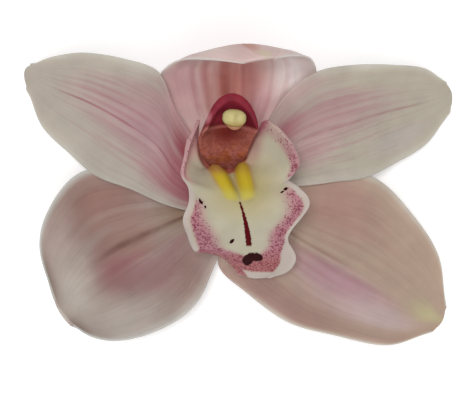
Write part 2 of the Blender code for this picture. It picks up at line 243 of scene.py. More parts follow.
class Wiring:
    """Adds nodes to one tree and joins them."""

    def __init__(self, tree: bpy.types.NodeTree) -> None:
        """Takes the tree that the nodes go into."""
        self.tree = tree

    def node(self, kind: str, **settings: object) -> bpy.types.Node:
        """A new node.

        Args:
            kind: its type.
            settings: properties to set on it.

        Returns:
            The node.
        """
        made = self.tree.nodes.new(kind)
        for name, value in settings.items():
            setattr(made, name, value)
        return made

    def feed(self, socket: Socket, value: Value) -> None:
        """Links another node's output to a socket, or sets a plain value on it.

        Args:
            socket: the input to feed.
            value: an output, a number, a vector or a colour.
        """
        if isinstance(value, Socket):
            self.tree.links.new(value, socket)
        elif isinstance(value, tuple) and socket.type == "RGBA":
            socket.default_value = (*value, 1.0)
        else:
            socket.default_value = value

    def fed(self, kind: str, values: Sequence[Value], **settings: object) -> Socket:
        """A new node whose inputs are fed in their order.

        Args:
            kind: its type.
            values: what its first inputs take.
            settings: properties to set on it.

        Returns:
            The node's first output.
        """
        made = self.node(kind, **settings)
        for socket, value in zip(made.inputs, values):
            self.feed(socket, value)
        return made.outputs[0]

    def math(self, operation: str, *values: Value, clamp: bool = False) -> Socket:
        """A Math node's result for those values."""
        return self.fed("ShaderNodeMath", values, operation=operation, use_clamp=clamp)

    def vector(self, operation: str, *values: Value) -> Socket:
        """A Vector Math node's vector for those values."""
        return self.fed("ShaderNodeVectorMath", values, operation=operation)

    def product(self, *factors: Value) -> Socket:
        """The product of those values."""
        return reduce(lambda so_far, factor: self.math("MULTIPLY", so_far, factor), factors)

    def total(self, value: Value, other: Value) -> Socket:
        """The sum of two values."""
        return self.math("ADD", value, other)

    def less(self, value: Value, amount: Value) -> Socket:
        """A value less an amount."""
        return self.math("SUBTRACT", value, amount)

    def away(self, value: Value, middle: Value) -> Socket:
        """How far a value is from a middle, to either side."""
        return self.math("ABSOLUTE", self.less(value, middle))

    def reach(self, x: Value, y: Value) -> Socket:
        """The length of a flat vector."""
        return self.math("SQRT", self.total(self.product(x, x), self.product(y, y)))

    def between(self, share: Value, low: Value, high: Value) -> Socket:
        """The value a share of the way from low to high."""
        return self.math("MULTIPLY_ADD", share, self.less(high, low), low)

    def joined(self, x: Value, y: Value, z: Value = 0.0) -> Socket:
        """A vector from its X, Y and Z."""
        return self.fed("ShaderNodeCombineXYZ", (x, y, z))

    def parts(self, vector: Value) -> tuple[Socket, ...]:
        """The X, Y and Z of a vector."""
        return tuple(self.fed("ShaderNodeSeparateXYZ", (vector,)).node.outputs)

    def step(
        self, value: Value, start: Value, end: Value, before: float = 0.0, after: float = 1.0,
    ) -> Socket:
        """A smooth step of a value, which is before up to start and after from end on."""
        values = (value, start, end, before, after)
        return self.fed("ShaderNodeMapRange", values, interpolation_type="SMOOTHSTEP")

    def fall(self, value: Value, start: Value, end: Value) -> Socket:
        """A smooth step down, from 1 at start to 0 at end."""
        return self.step(value, start, end, 1.0, 0.0)

    def noise(self, vector: Value, scale: float, detail: float = 2.0) -> Socket:
        """A Noise Texture's value.

        Args:
            vector: where it is read.
            scale: how fine it is.
            detail: how many finer layers lie over it.

        Returns:
            The noise, from 0 to 1.
        """
        made = self.node("ShaderNodeTexNoise")
        self.feed(made.inputs["Vector"], vector)
        made.inputs["Scale"].default_value = scale
        made.inputs["Detail"].default_value = detail
        return made.outputs[0]

    def tint(self, share: Value, under: Value, over: Value) -> Socket:
        """A colour laid over another.

        Args:
            share: how much of the upper colour shows.
            under: the lower colour.
            over: the upper colour.

        Returns:
            The mixed colour.
        """
        made = self.node("ShaderNodeMix", data_type="RGBA")
        self.feed(made.inputs[0], share)
        self.feed(made.inputs[6], under)
        self.feed(made.inputs[7], over)
        return made.outputs[2]

    def effect(self, group: bpy.types.NodeTree, **values: Value) -> Sequence[Socket]:
        """A placed node group.

        Args:
            group: the shared effect.
            values: its inputs by name, with _ for a space.

        Returns:
            Its outputs, by number or by name.
        """
        made = self.node("ShaderNodeGroup", node_tree=group)
        for name, value in values.items():
            self.feed(made.inputs[name.replace("_", " ")], value)
        return made.outputs


def new_group(
    name: str, inputs: Sequence[str], outputs: Sequence[str] = ("Mask",),
) -> tuple[Wiring, Sockets, Sockets]:
    """An empty shared effect, whose sockets hold numbers, apart from the vector Place.

    Args:
        name: its name.
        inputs: the names of its inputs.
        outputs: the names of its outputs.

    Returns:
        Its wiring, its input sockets by name and its output sockets by name.
    """
    tree = bpy.data.node_groups.new(name, "ShaderNodeTree")
    for side, labels in (("INPUT", inputs), ("OUTPUT", outputs)):
        for label in labels:
            kind = "NodeSocketVector" if label == "Place" else "NodeSocketFloat"
            tree.interface.new_socket(name=label, in_out=side, socket_type=kind)
    wires = Wiring(tree)
    given = wires.node("NodeGroupInput").outputs
    result = wires.node("NodeGroupOutput").inputs
    return wires, {label: given[label] for label in inputs}, {label: result[label] for label in outputs}


class Effects:
    """The shader node groups that the finishes share."""

    def __init__(self) -> None:
        """Builds each group once."""
        self.veins = self.parallel_veins()
        self.streak = self.long_streak()
        self.patch = self.soft_patch()
        self.spot = self.oval_spot()
        self.speckles = self.fine_speckles()
        self.tissue = self.waxy_tissue()

    @staticmethod
    def parallel_veins() -> bpy.types.NodeTree:
        """Uneven veins that run from a blade's base to its tip and fade in and out.

        Returns:
            The group.
        """
        wires, given, result = new_group("parallel_veins", ("Along", "Across", "Count", "Seed"))
        breaks = 2.4
        shown = Ramp(0.44, 0.7)
        lanes = wires.product(given["Across"], given["Count"])
        stretch = wires.product(given["Along"], breaks)
        uneven = wires.noise(wires.joined(stretch, lanes, given["Seed"]), 1.0)
        wires.feed(result["Mask"], wires.step(uneven, *shown))
        return wires.tree

    @staticmethod
    def long_streak() -> bpy.types.NodeTree:
        """One soft, patchy streak along a blade.

        Returns:
            The group.
        """
        inputs = ("Along", "Across", "Centre", "Half Width", "Start", "End")
        wires, given, result = new_group("long_streak", inputs)
        fade_in = Ramp(-0.04, 0.1)
        fade_out = Ramp(-0.16, 0.05, 1.0, 0.0)
        breaks = Ramp(0.3, 0.6, 0.45, 1.0)
        own_place = 9.0
        fineness = 7.0
        off = wires.away(given["Across"], given["Centre"])
        core = wires.fall(wires.math("DIVIDE", off, given["Half Width"]), 0.0, 1.0)
        begun = wires.step(wires.less(given["Along"], given["Start"]), *fade_in)
        ended = wires.step(wires.less(given["Along"], given["End"]), *fade_out)
        own = wires.noise(wires.joined(given["Along"], wires.product(given["Centre"], own_place)), fineness)
        wires.feed(result["Mask"], wires.product(core, wires.step(own, *breaks), begun, ended))
        return wires.tree

    @staticmethod
    def soft_patch() -> bpy.types.NodeTree:
        """One soft oval area on a blade, frayed along its veins, least near the blade's tip.

        Returns:
            The group.
        """
        inputs = ("Along", "Across", "Centre Along", "Centre Across", "Half Length", "Half Width")
        wires, given, result = new_group("soft_patch", inputs)
        fray = Ramp(0.55, 0.9, 0.7, 0.1)
        edge = Ramp(0.1, 1.0, 1.0, 0.0)
        lanes_along, lanes_across, slice_height = 2.0, 8.0, 3.0
        long = wires.math("DIVIDE", wires.less(given["Along"], given["Centre Along"]), given["Half Length"])
        wide = wires.math("DIVIDE", wires.less(given["Across"], given["Centre Across"]), given["Half Width"])
        stretch = wires.product(given["Along"], lanes_along)
        lanes = wires.joined(stretch, wires.product(given["Across"], lanes_across), slice_height)
        uneven = wires.less(wires.noise(lanes, 1.0, 3.0), 0.5)
        frayed = wires.product(uneven, wires.step(given["Along"], *fray))
        wires.feed(result["Mask"], wires.step(wires.total(frayed, wires.reach(long, wide)), *edge))
        return wires.tree

    @staticmethod
    def oval_spot() -> bpy.types.NodeTree:
        """One oval mark at a place in the XY plane, in millimetres, with an edge as soft as its Softness.

        Returns:
            The group.
        """
        inputs = ("Place", "X", "Y", "Half Length", "Half Width", "Turn", "Softness")
        wires, given, result = new_group("oval_spot", inputs)
        away = wires.vector("SUBTRACT", given["Place"], wires.joined(given["X"], given["Y"]))
        turned = wires.node("ShaderNodeVectorRotate", rotation_type="Z_AXIS")
        wires.feed(turned.inputs["Vector"], away)
        wires.feed(turned.inputs["Angle"], wires.product(given["Turn"], -1.0))
        x, y, _ = wires.parts(turned.outputs[0])
        long = wires.math("DIVIDE", x, given["Half Length"])
        wide = wires.math("DIVIDE", y, given["Half Width"])
        inner = wires.less(1.0, given["Softness"])
        outer = wires.math("MULTIPLY_ADD", given["Softness"], 0.5, 1.0)
        wires.feed(result["Mask"], wires.fall(wires.reach(long, wide), inner, outer))
        return wires.tree

    @staticmethod
    def fine_speckles() -> bpy.types.NodeTree:
        """Fine dots of two sizes, whose number follows a density from 0 to 1.

        Returns:
            The group.
        """
        wires, given, result = new_group("fine_speckles", ("Place", "Spacing", "Density"))
        largest = 0.9
        edge = Ramp(-0.06, 0.08)
        masks = []
        for share, shift in ((1.0, 0.0), (0.62, 5.3)):
            dots = wires.node("ShaderNodeTexVoronoi", feature="F1")
            wires.feed(dots.inputs["Vector"], wires.vector("ADD", given["Place"], (shift, shift, shift)))
            spacing = wires.product(given["Spacing"], share)
            wires.feed(dots.inputs["Scale"], wires.math("DIVIDE", 1.0, spacing))
            chance = wires.parts(dots.outputs["Color"])[0]
            radius = wires.math("MULTIPLY", wires.less(given["Density"], chance), largest, clamp=True)
            masks.append(wires.step(wires.less(radius, dots.outputs["Distance"]), *edge))
        wires.feed(result["Mask"], wires.math("MAXIMUM", *masks))
        return wires.tree

    @staticmethod
    def waxy_tissue() -> bpy.types.NodeTree:
        """The uneven colour and the fine cells of plant tissue, from Object coordinates in millimetres.

        Returns:
            The group.
        """
        wires, given, result = new_group("waxy_tissue", ("Place",), ("Cloud", "Cells"))
        for name, fineness in (("Cloud", 0.16), ("Cells", 4.5)):
            wires.feed(result[name], wires.noise(given["Place"], fineness, 3.0))
        return wires.tree


@dataclass
class Skin:
    """A new material with its Principled BSDF, its coordinates and its tissue, which lets some light in."""

    name: str
    effects: Effects
    roughness: float
    gloss: float = 0.15
    clouds: tuple[float, float] = (0.25, 0.75)
    roughness_spread: tuple[float, float] = (-0.06, 0.08)
    light_share: float = 0.5
    light_depth: float = 3.0
    light_colours: Colour = (1.0, 0.9, 0.86)
    shades: Ramp = Ramp(0.2, 0.8, 0.93, 1.06)
    cell_height: float = 0.25
    relief_share: float = 0.5

    def __post_init__(self) -> None:
        """Makes the material and feeds what every finish shares."""
        self.look = bpy.data.materials.new(self.name)
        self.look.use_nodes = True
        self.wires = Wiring(self.look.node_tree)
        self.shader = self.look.node_tree.nodes["Principled BSDF"]
        coordinates = self.wires.node("ShaderNodeTexCoord")
        scaled = self.wires.node("ShaderNodeVectorMath", operation="SCALE")
        self.wires.feed(scaled.inputs[0], coordinates.outputs["Object"])
        scaled.inputs["Scale"].default_value = 1 / MM
        self.place = scaled.outputs[0]
        self.tissue = self.wires.effect(self.effects.tissue, Place=self.place)
        low, high = (self.roughness + spread for spread in self.roughness_spread)
        roughness = self.wires.step(self.tissue["Cloud"], *self.clouds, low, high)
        self.wires.feed(self.shader.inputs["Roughness"], roughness)
        self.shader.inputs["Specular IOR Level"].default_value = self.gloss
        self.shader.inputs["Subsurface Weight"].default_value = self.light_share
        self.shader.inputs["Subsurface Radius"].default_value = self.light_colours
        self.shader.inputs["Subsurface Scale"].default_value = self.light_depth * MM

    def attribute(self, name: str) -> Socket:
        """The value of one of the piece's own attributes."""
        return self.wires.node("ShaderNodeAttribute", attribute_name=name).outputs["Fac"]

    def along_and_across(self) -> tuple[Socket, Socket]:
        """Reads the places that the piece's UV map holds.

        Returns:
            The place along the piece, from 0 to 1, and across it, from -1 to 1.
        """
        mapped = self.wires.node("ShaderNodeUVMap", uv_map=UV_MAP)
        along, across, _ = self.wires.parts(mapped.outputs[0])
        return along, self.wires.math("MULTIPLY_ADD", across, 2.0, -1.0)

    def finish(self, colour: Socket, height: Value, depth: float) -> bpy.types.Material:
        """Feeds the shader.

        Args:
            colour: the surface's colour.
            height: the relief, from 0 to 1, which the fine cells are added to.
            depth: what a height of 1 stands for, in millimetres.

        Returns:
            The material.
        """
        wires = self.wires
        clouded = wires.node("ShaderNodeMix", data_type="RGBA", blend_type="MULTIPLY")
        clouded.inputs[0].default_value = 1.0
        wires.feed(clouded.inputs[6], colour)
        shade = wires.step(self.tissue["Cloud"], *self.shades)
        wires.feed(clouded.inputs[7], wires.joined(shade, shade, shade))
        wires.feed(self.shader.inputs["Base Color"], clouded.outputs[2])
        bump = wires.node("ShaderNodeBump")
        bump.inputs["Strength"].default_value = self.relief_share
        bump.inputs["Distance"].default_value = depth * MM
        cells = wires.math("MULTIPLY_ADD", self.tissue["Cells"], self.cell_height, height)
        wires.feed(bump.inputs["Height"], cells)
        wires.feed(self.shader.inputs["Normal"], bump.outputs[0])
        return self.look


class Finish(Protocol):
    """What every finish can do."""

    def material(self, effects: Effects) -> bpy.types.Material:
        """The finish's own material, made with the shared groups."""


class Piece(ABC):
    """A piece of the bloom, which stands for one node of the frame."""

    node: str
    slot: str
    finish: Finish

    @abstractmethod
    def shape(self) -> bmesh.types.BMesh:
        """The piece's mesh, in metres from the origin."""

    def build(self, effects: Effects) -> bpy.types.Object:
        """Makes the piece, dresses it, names it after its node, hangs it from the root body and hides that
        node's part of the imported model.

        Args:
            effects: the shared shader groups.

        Returns:
            The finished piece.
        """
        name = f"{self.node}_skin"
        body = self.shape()
        mesh = bpy.data.meshes.new(name)
        body.to_mesh(mesh)
        body.free()
        mesh.shade_smooth()
        mesh.materials.append(self.finish.material(effects))
        made = bpy.data.objects.new(name, mesh)
        bpy.context.scene.collection.objects.link(made)
        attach(made, BODY)
        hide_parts(self.node)
        return made


@dataclass(frozen=True)
class Streak:
    """A darker stripe along a blade: its place across, its half width, its ends and its strength."""

    across: float
    half_width: float
    start: float
    end: float
    strength: float = 0.6
    colour: Colour | None = None

    def mask(self, skin: Skin, along: Socket, across: Socket) -> Socket:
        """How much of the streak shows.

        Args:
            skin: the blade's material.
            along: the place along the blade.
            across: the place across it.

        Returns:
            The streak's share of the colour.
        """
        stripe = skin.wires.effect(
            skin.effects.streak, Along=along, Across=across, Centre=self.across,
            Half_Width=self.half_width, Start=self.start, End=self.end,
        )
        return skin.wires.product(stripe[0], self.strength)


@dataclass(frozen=True)
class Patch:
    """A soft area of colour on a blade: its middle, its half sizes, its colour and its strength."""

    along: float
    across: float
    half_length: float
    half_width: float
    colour: Colour
    strength: float = 0.8

    def mask(self, skin: Skin, along: Socket, across: Socket) -> Socket:
        """How much of the patch shows.

        Args:
            skin: the blade's material.
            along: the place along the blade.
            across: the place across it.

        Returns:
            The patch's share of the colour.
        """
        area = skin.wires.effect(
            skin.effects.patch, Along=along, Across=across, Centre_Along=self.along,
            Centre_Across=self.across, Half_Length=self.half_length, Half_Width=self.half_width,
        )
        return skin.wires.product(area[0], self.strength)


@dataclass(frozen=True)
class BladeFinish:
    """The colours of one sepal or petal and how its veins show.

    The margin is pale from margin_foot on, where the blade leaves the middle of the bloom.
    """

    name: str
    ground: Colour
    margin: Colour
    vein: Colour
    patches: tuple[Patch, ...] = ()
    streaks: tuple[Streak, ...] = ()
    margin_start: float = 0.86
    margin_foot: float = 0.45
    foot_fade: tuple[float, float] = (-0.15, 0.1)
    vein_count: float = 15.0
    vein_share: float = 0.2
    seed: float = 0.0
    fine_veins: float = 0.4
    roughness: float = 0.52
    relief: float = 0.12
    veins_to_edge: Ramp = Ramp(0.5, 1.0, 1.0, 0.2)
    veins_to_tip: Ramp = Ramp(0.5, 1.0, 1.0, 0.35)
    relief_to_tip: Ramp = Ramp(0.55, 0.9, 1.0, 0.0)

    def veins(self, skin: Skin, along: Socket, across: Socket) -> Socket:
        """The coarse veins with the fine ones between them.

        Args:
            skin: the blade's material.
            along: the place along the blade.
            across: the place across it.

        Returns:
            The mask of both.
        """
        wires = skin.wires
        coarse, fine = (
            wires.effect(skin.effects.veins, Along=along, Across=across, Count=count, Seed=seed)[0]
            for count, seed in ((self.vein_count, self.seed), (self.vein_count * 3, self.seed + 4))
        )
        return wires.math("MULTIPLY_ADD", fine, self.fine_veins, coarse, clamp=True)

    def material(self, effects: Effects) -> bpy.types.Material:
        """The blade's material.

        Args:
            effects: the shared groups.

        Returns:
            The material, which reads the piece's UV map.
        """
        skin = Skin(self.name, effects, self.roughness)
        wires = skin.wires
        along, across = skin.along_and_across()
        edge = wires.math("ABSOLUTE", across)
        colour = self.ground
        for patch in self.patches:
            colour = wires.tint(patch.mask(skin, along, across), colour, patch.colour)
        past_foot = wires.step(along, *(self.margin_foot + shift for shift in self.foot_fade))
        margin = wires.product(wires.step(edge, self.margin_start, 1.0), past_foot)
        colour = wires.tint(margin, colour, self.margin)
        lines = self.veins(skin, along, across)
        inner = wires.product(wires.step(edge, *self.veins_to_edge), wires.step(along, *self.veins_to_tip))
        colour = wires.tint(wires.product(lines, inner, self.vein_share), colour, self.vein)
        for streak in self.streaks:
            colour = wires.tint(streak.mask(skin, along, across), colour, streak.colour or self.vein)
        height = wires.product(lines, wires.step(along, *self.relief_to_tip))
        return skin.finish(colour, height, self.relief)


@dataclass(frozen=True)
class Relief:
    """The low forms of a blade's face, in millimetres: its midrib, its sunken veins and its waved margin."""

    groove: float = 0.45
    groove_half_width: float = 0.05
    groove_end: float = 1.0
    groove_fade: float = 0.3
    foot: Ramp = Ramp(0.08, 0.3)
    vein_depth: float = 0.05
    vein_turns: float = 8.5
    veins_to_tip: Ramp = Ramp(0.55, 0.85)
    wave: float = 0.3
    waves: float = 3.5
    phase: float = 0.0
    slant: float = 1.3
    wave_to_tip: Ramp = Ramp(0.85, 1.0)

    def height(self, u: float, v: float) -> float:
        """How far a point of the face is raised.

        Args:
            u: the place along the blade.
            v: the place across it.

        Returns:
            The height in millimetres, below zero where the face is sunken.
        """
        begun = self.foot.share(u)
        midrib = -self.groove * math.exp(-((v / self.groove_half_width) ** 2)) * begun
        midrib *= 1 - Ramp(self.groove_end - self.groove_fade, self.groove_end).share(u)
        ribs = -self.vein_depth * math.cos(v * self.vein_turns * math.pi) * (1 - v * v)
        ribs *= 1 - self.veins_to_tip.share(u)
        turn = self.waves * 2 * math.pi * u + self.phase + self.slant * v
        wave = self.wave * abs(v) ** 3 * math.sin(turn)
        wave *= begun * (1 - self.wave_to_tip.share(u))
        return midrib + ribs + wave


@dataclass
class Blade(Piece):
    """A sepal or petal: each cross-section is an even arc through its two margins and its midrib."""

    node: str
    slot: str
    rails: Rails
    tissue: Tissue
    finish: BladeFinish
    relief: Relief = Relief()
    grid: tuple[int, int] = (120, 84)
    rim: Ramp = Ramp(0.8, 1.0)
    rim_share: float = 0.5
    sunken_share: float = 0.9

    def face(self, u: float, v: float) -> Vector:
        """A point of the smooth face.

        Args:
            u: the place along the blade.
            v: the place across it.

        Returns:
            The point in the tables' frame.
        """
        left, middle, right = (through(rail, u) for rail in self.rails)
        return left * (v * (v + 1) / 2) + middle * (1 - v * v) + right * (v * (v - 1) / 2)

    def wall_share(self, u: float, v: float) -> float:
        """The share of the full wall at a point: less at the rim and where the face is sunken."""
        sunken = min(self.relief.height(u, v), 0.0) / self.tissue.value
        return (1 + self.sunken_share * sunken) * (1 - (1 - self.rim_share) * self.rim.share(abs(v)))

    def shape(self) -> bmesh.types.BMesh:
        """The blade's face with its relief, and the weights that thin its wall.

        Returns:
            The mesh.
        """
        body = bmesh.new()
        walls = body.verts.layers.deform.new()
        places = laid_out(body, self.grid)
        for point, place in places.items():
            point.co = metres(self.face(*place))
            point[walls][0] = self.wall_share(*place)
        body.normal_update()
        map_places(body, places)
        for point, normal in [(point, point.normal.copy()) for point in body.verts]:
            point.co += normal * (self.relief.height(*places[point]) * MM)
        return body

    def build(self, effects: Effects) -> bpy.types.Object:
        """The finished blade.

        Args:
            effects: the shared shader groups.

        Returns:
            The piece, with its wall as a modifier.
        """
        made = super().build(effects)
        wall = made.modifiers.new("wall", "SOLIDIFY")
        wall.thickness = self.tissue.value * MM
        wall.offset = -1.0
        wall.vertex_group = made.vertex_groups.new(name="wall").name
        return made


@dataclass(frozen=True)
class Mark:
    """An oval mark: its place, its half sizes in millimetres, its turn in degrees and its softness."""

    x: float
    y: float
    half_length: float
    half_width: float
    turn: float = 0.0
    softness: float = 0.14

    def mask(self, skin: Skin, place: Socket | None = None) -> Socket:
        """Where the mark lies.

        Args:
            skin: the material it is on.
            place: the point in millimetres, where it isn't the skin's own.

        Returns:
            The mark's mask.
        """
        return skin.wires.effect(
            skin.effects.spot, Place=place or skin.place, X=self.x, Y=self.y,
            Half_Length=self.half_length, Half_Width=self.half_width,
            Turn=math.radians(self.turn), Softness=self.softness,
        )[0]


@dataclass(frozen=True)
class ThroatFinish:
    """The rust-brown of the throat, which the column's face and the trough round it share, darkening to dark
    red right under the cap, partly as painted shade.
    """

    rust: Colour = paint(176, 106, 94)
    # Dark red under the cap: partly the cavity's own colour, partly painted shade.
    dark: Colour = paint(104, 16, 20)
    amber: Colour = paint(178, 100, 58)
    dot: Colour = paint(122, 52, 40)
    ledge_top: float = 18.3
    ledge_middle: float = -2.5
    ledge_bend: float = 0.038
    # Where the painted shade under the cap lies, and how strong it is.
    cap_shadow_area: Mark = Mark(-2.9, 16.4, 5.0, 3.7, 0, 0.9)
    cap_shadow_share: float = 0.9
    amber_from: Ramp = Ramp(3.5, 8.0)
    amber_spread: float = 3.0
    amber_clouds: Ramp = Ramp(0.4, 0.62)
    amber_share: float = 0.8
    cloud_fineness: float = 0.45
    mottling: Ramp = Ramp(0.42, 0.62)
    mottling_fineness: float = 1.1
    mottling_share: float = 0.45
    dot_spacing: float = 0.8
    dot_density: float = 0.5
    dot_share: float = 0.35

    def below_ledge(self, skin: Skin) -> Socket:
        """How far a point lies below the ledge under the hood.

        Args:
            skin: the material that shows the throat.

        Returns:
            The distance in millimetres.
        """
        wires = skin.wires
        x, y, _ = wires.parts(skin.place)
        off = wires.less(x, self.ledge_middle)
        ledge = wires.math("MULTIPLY_ADD", wires.product(off, off), -self.ledge_bend, self.ledge_top)
        return wires.less(ledge, y)

    def colour(self, skin: Skin) -> Socket:
        """Lays the throat's browns over each other, with the dark red under the cap as partly painted shade.

        Args:
            skin: the material that shows the throat.

        Returns:
            The colour.
        """
        wires, place = skin.wires, skin.place
        cloud = wires.noise(place, self.cloud_fineness, 3.0)
        below = wires.total(self.below_ledge(skin), -self.amber_spread / 2)
        uneven = wires.math("MULTIPLY_ADD", cloud, self.amber_spread, below)
        # Partly painted shade: dark red right under the cap.
        dark = wires.product(self.cap_shadow_area.mask(skin), self.cap_shadow_share)
        colour = wires.tint(dark, self.rust, self.dark)
        clouds = wires.step(cloud, *self.amber_clouds)
        amber = wires.product(clouds, wires.step(uneven, *self.amber_from), self.amber_share)
        colour = wires.tint(amber, colour, self.amber)
        mottling = wires.step(wires.noise(place, self.mottling_fineness), *self.mottling)
        colour = wires.tint(wires.product(mottling, self.mottling_share), colour, self.dot)
        dots = wires.effect(
            skin.effects.speckles, Place=place, Spacing=self.dot_spacing, Density=self.dot_density,
        )
        return wires.tint(wires.product(dots[0], self.dot_share), colour, self.dot)


@dataclass(frozen=True)
class LipFinish:
    """The cream lip with its pale rim, speckled band, yellow keels and dark marks.

    Ramps named _along count from the claw, 0, to the tip of the lip, 1, and ramps named _across from
    the left rim, -1, to the right rim, 1. Ramps named _edge count from the middle, 0, to either rim, 1,
    and ramps named _x, _y or _down count millimetres from the middle of the bloom.
    """

    name: str = "lip_cream_speckled"
    cream: Colour = paint(184, 178, 158)
    glow: Colour = paint(178, 164, 104)
    rim: Colour = paint(188, 176, 168)
    # Pink of the left lobe, painted lighter to lift the shade on its steep inner wall.
    lobe: Colour = paint(222, 184, 178)
    flush: Colour = paint(170, 124, 120)
    tip: Colour = paint(160, 84, 104)
    speckle: Colour = paint(116, 26, 56)
    haze: Colour = paint(176, 116, 132)
    low_haze: Colour = paint(168, 96, 102)
    keel: Colour = paint(196, 172, 48)
    pale_keel: Colour = paint(192, 178, 78)
    amber: Colour = paint(180, 134, 72)
    mark: Colour = paint(44, 2, 6)
    line: Colour = paint(84, 10, 18)
    back: Colour = paint(190, 158, 152)
    throat: ThroatFinish = ThroatFinish()
    roughness: float = 0.55
    gloss: float = 0.04
    relief: float = 0.05

    speckle_spacing: float = 0.55
    speckle_power: float = 0.7
    speckle_crowd: float = 0.8
    speckle_share: float = 0.7
    glow_share: float = 0.8
    flush_share: float = 0.7
    haze_share: float = 0.85
    back_haze_share: float = 0.6
    tip_share: float = 0.9

    throat_area: Mark = Mark(-3.75, 12.5, 6.5, 6.6, 0, 0.08)
    glow_area: Mark = Mark(1.0, 2.6, 8.5, 7.5, 0, 0.95)
    flush_area: Mark = Mark(3.8, 13.0, 2.2, 5.5, -12, 0.9)
    foot_area: Mark = Mark(11.8, -14.6, 4.0, 5.0, 0, 0.6)
    marks: tuple[Mark, ...] = (
        Mark(3.1, -14.0, 1.3, 1.15),
        Mark(4.4, -14.1, 1.55, 1.15, -14),
        Mark(2.2, -14.8, 1.55, 1.35, 50),
        Mark(-9.1, -0.5, 0.9, 0.45, -62),
        Mark(-8.1, -1.8, 0.35, 0.25, -40),
        Mark(-1.7, -10.1, 0.7, 0.42, 45),
        Mark(11.1, 2.5, 0.6, 0.36, 35),
        Mark(10.3, 1.8, 0.35, 0.22, 10),
    )
    mark_raggedness: float = 0.9
    mark_fineness: float = 1.6

    right_half_across: Ramp = Ramp(-0.02, 0.02)
    lobes_start_along: Ramp = Ramp(0.22, 0.28)
    lobes_end_along: Ramp = Ramp(0.46, 0.5, 1.0, 0.0)
    left_lobe_edge: Ramp = Ramp(0.62, 0.9)
    left_lobe_density: float = 0.62
    right_lobe_edge: Ramp = Ramp(0.84, 0.93)
    right_lobe_along: Ramp = Ramp(0.3, 0.37, 0.45, 0.9)
    pink_lobe_across: Ramp = Ramp(-0.85, -0.5, 1.0, 0.0)
    lobe_tip_across: Ramp = Ramp(0.78, 0.95)
    lobe_tip_along: Ramp = Ramp(0.26, 0.29, 1.0, 0.0)

    band_start_along: Ramp = Ramp(0.55, 0.6)
    band_inside_along: Ramp = Ramp(0.58, 0.75, 0.7, 0.46)
    band_closing_along: Ramp = Ramp(0.78, 0.92, 0.0, -0.75)
    band_inside_fade: Ramp = Ramp(-0.12, 0.2)
    band_right_along: Ramp = Ramp(0.79, 0.86, 0.92, 0.66)
    band_left_along: Ramp = Ramp(0.79, 0.83, 0.88, 1.1)
    band_outside_fade: Ramp = Ramp(-0.05, 0.03, 1.0, 0.0)
    band_foot_across: Ramp = Ramp(-0.5, -0.3, 1.0, 0.0)
    band_foot_along: Ramp = Ramp(0.945, 0.965, 1.0, 0.0)
    low_haze_along: Ramp = Ramp(0.8, 0.9)

    rim_edge: Ramp = Ramp(0.86, 0.94)
    rim_along: Ramp = Ramp(0.46, 0.52)
    foot_rim_along: Ramp = Ramp(0.94, 0.965)
    throat_end_along: Ramp = Ramp(0.4, 0.46, 1.0, 0.0)
    throat_left_across: Ramp = Ramp(-0.9, -0.8)

    keel_front_y: Ramp = Ramp(1.0, 3.8, 1.0, 0.0)
    keel_rear_y: Ramp = Ramp(5.2, 7.6)
    keel_rear_x: Ramp = Ramp(-4.6, -2.6, 1.0, 0.4)
    # The keels' lower flanks take the amber, partly as painted shade beside the ridges.
    keel_flank_shade: Ramp = Ramp(0.02, 0.5)
    keel_flank_shade_share: float = 0.7
    keel_top: Ramp = Ramp(0.2, 0.7)

    line_slope: float = 0.36
    line_bend: float = 0.0125
    line_raggedness: float = 0.7
    line_fineness: float = 2.2
    line_half_width_down: Ramp = Ramp(1.0, 9.5, 0.26, 0.68)
    line_fade: Ramp = Ramp(-0.08, 0.1, 1.0, 0.0)
    line_start_down: Ramp = Ramp(0.3, 0.8)
    line_end_down: Ramp = Ramp(11.0, 11.5, 1.0, 0.0)

    def material(self, effects: Effects) -> bpy.types.Material:
        """The lip's material.

        Args:
            effects: the shared groups.

        Returns:
            The material, which reads the piece's UV map and its attributes keel and front.
        """
        skin = Skin(self.name, effects, self.roughness, self.gloss)
        return LipPainter(self, skin).painted()


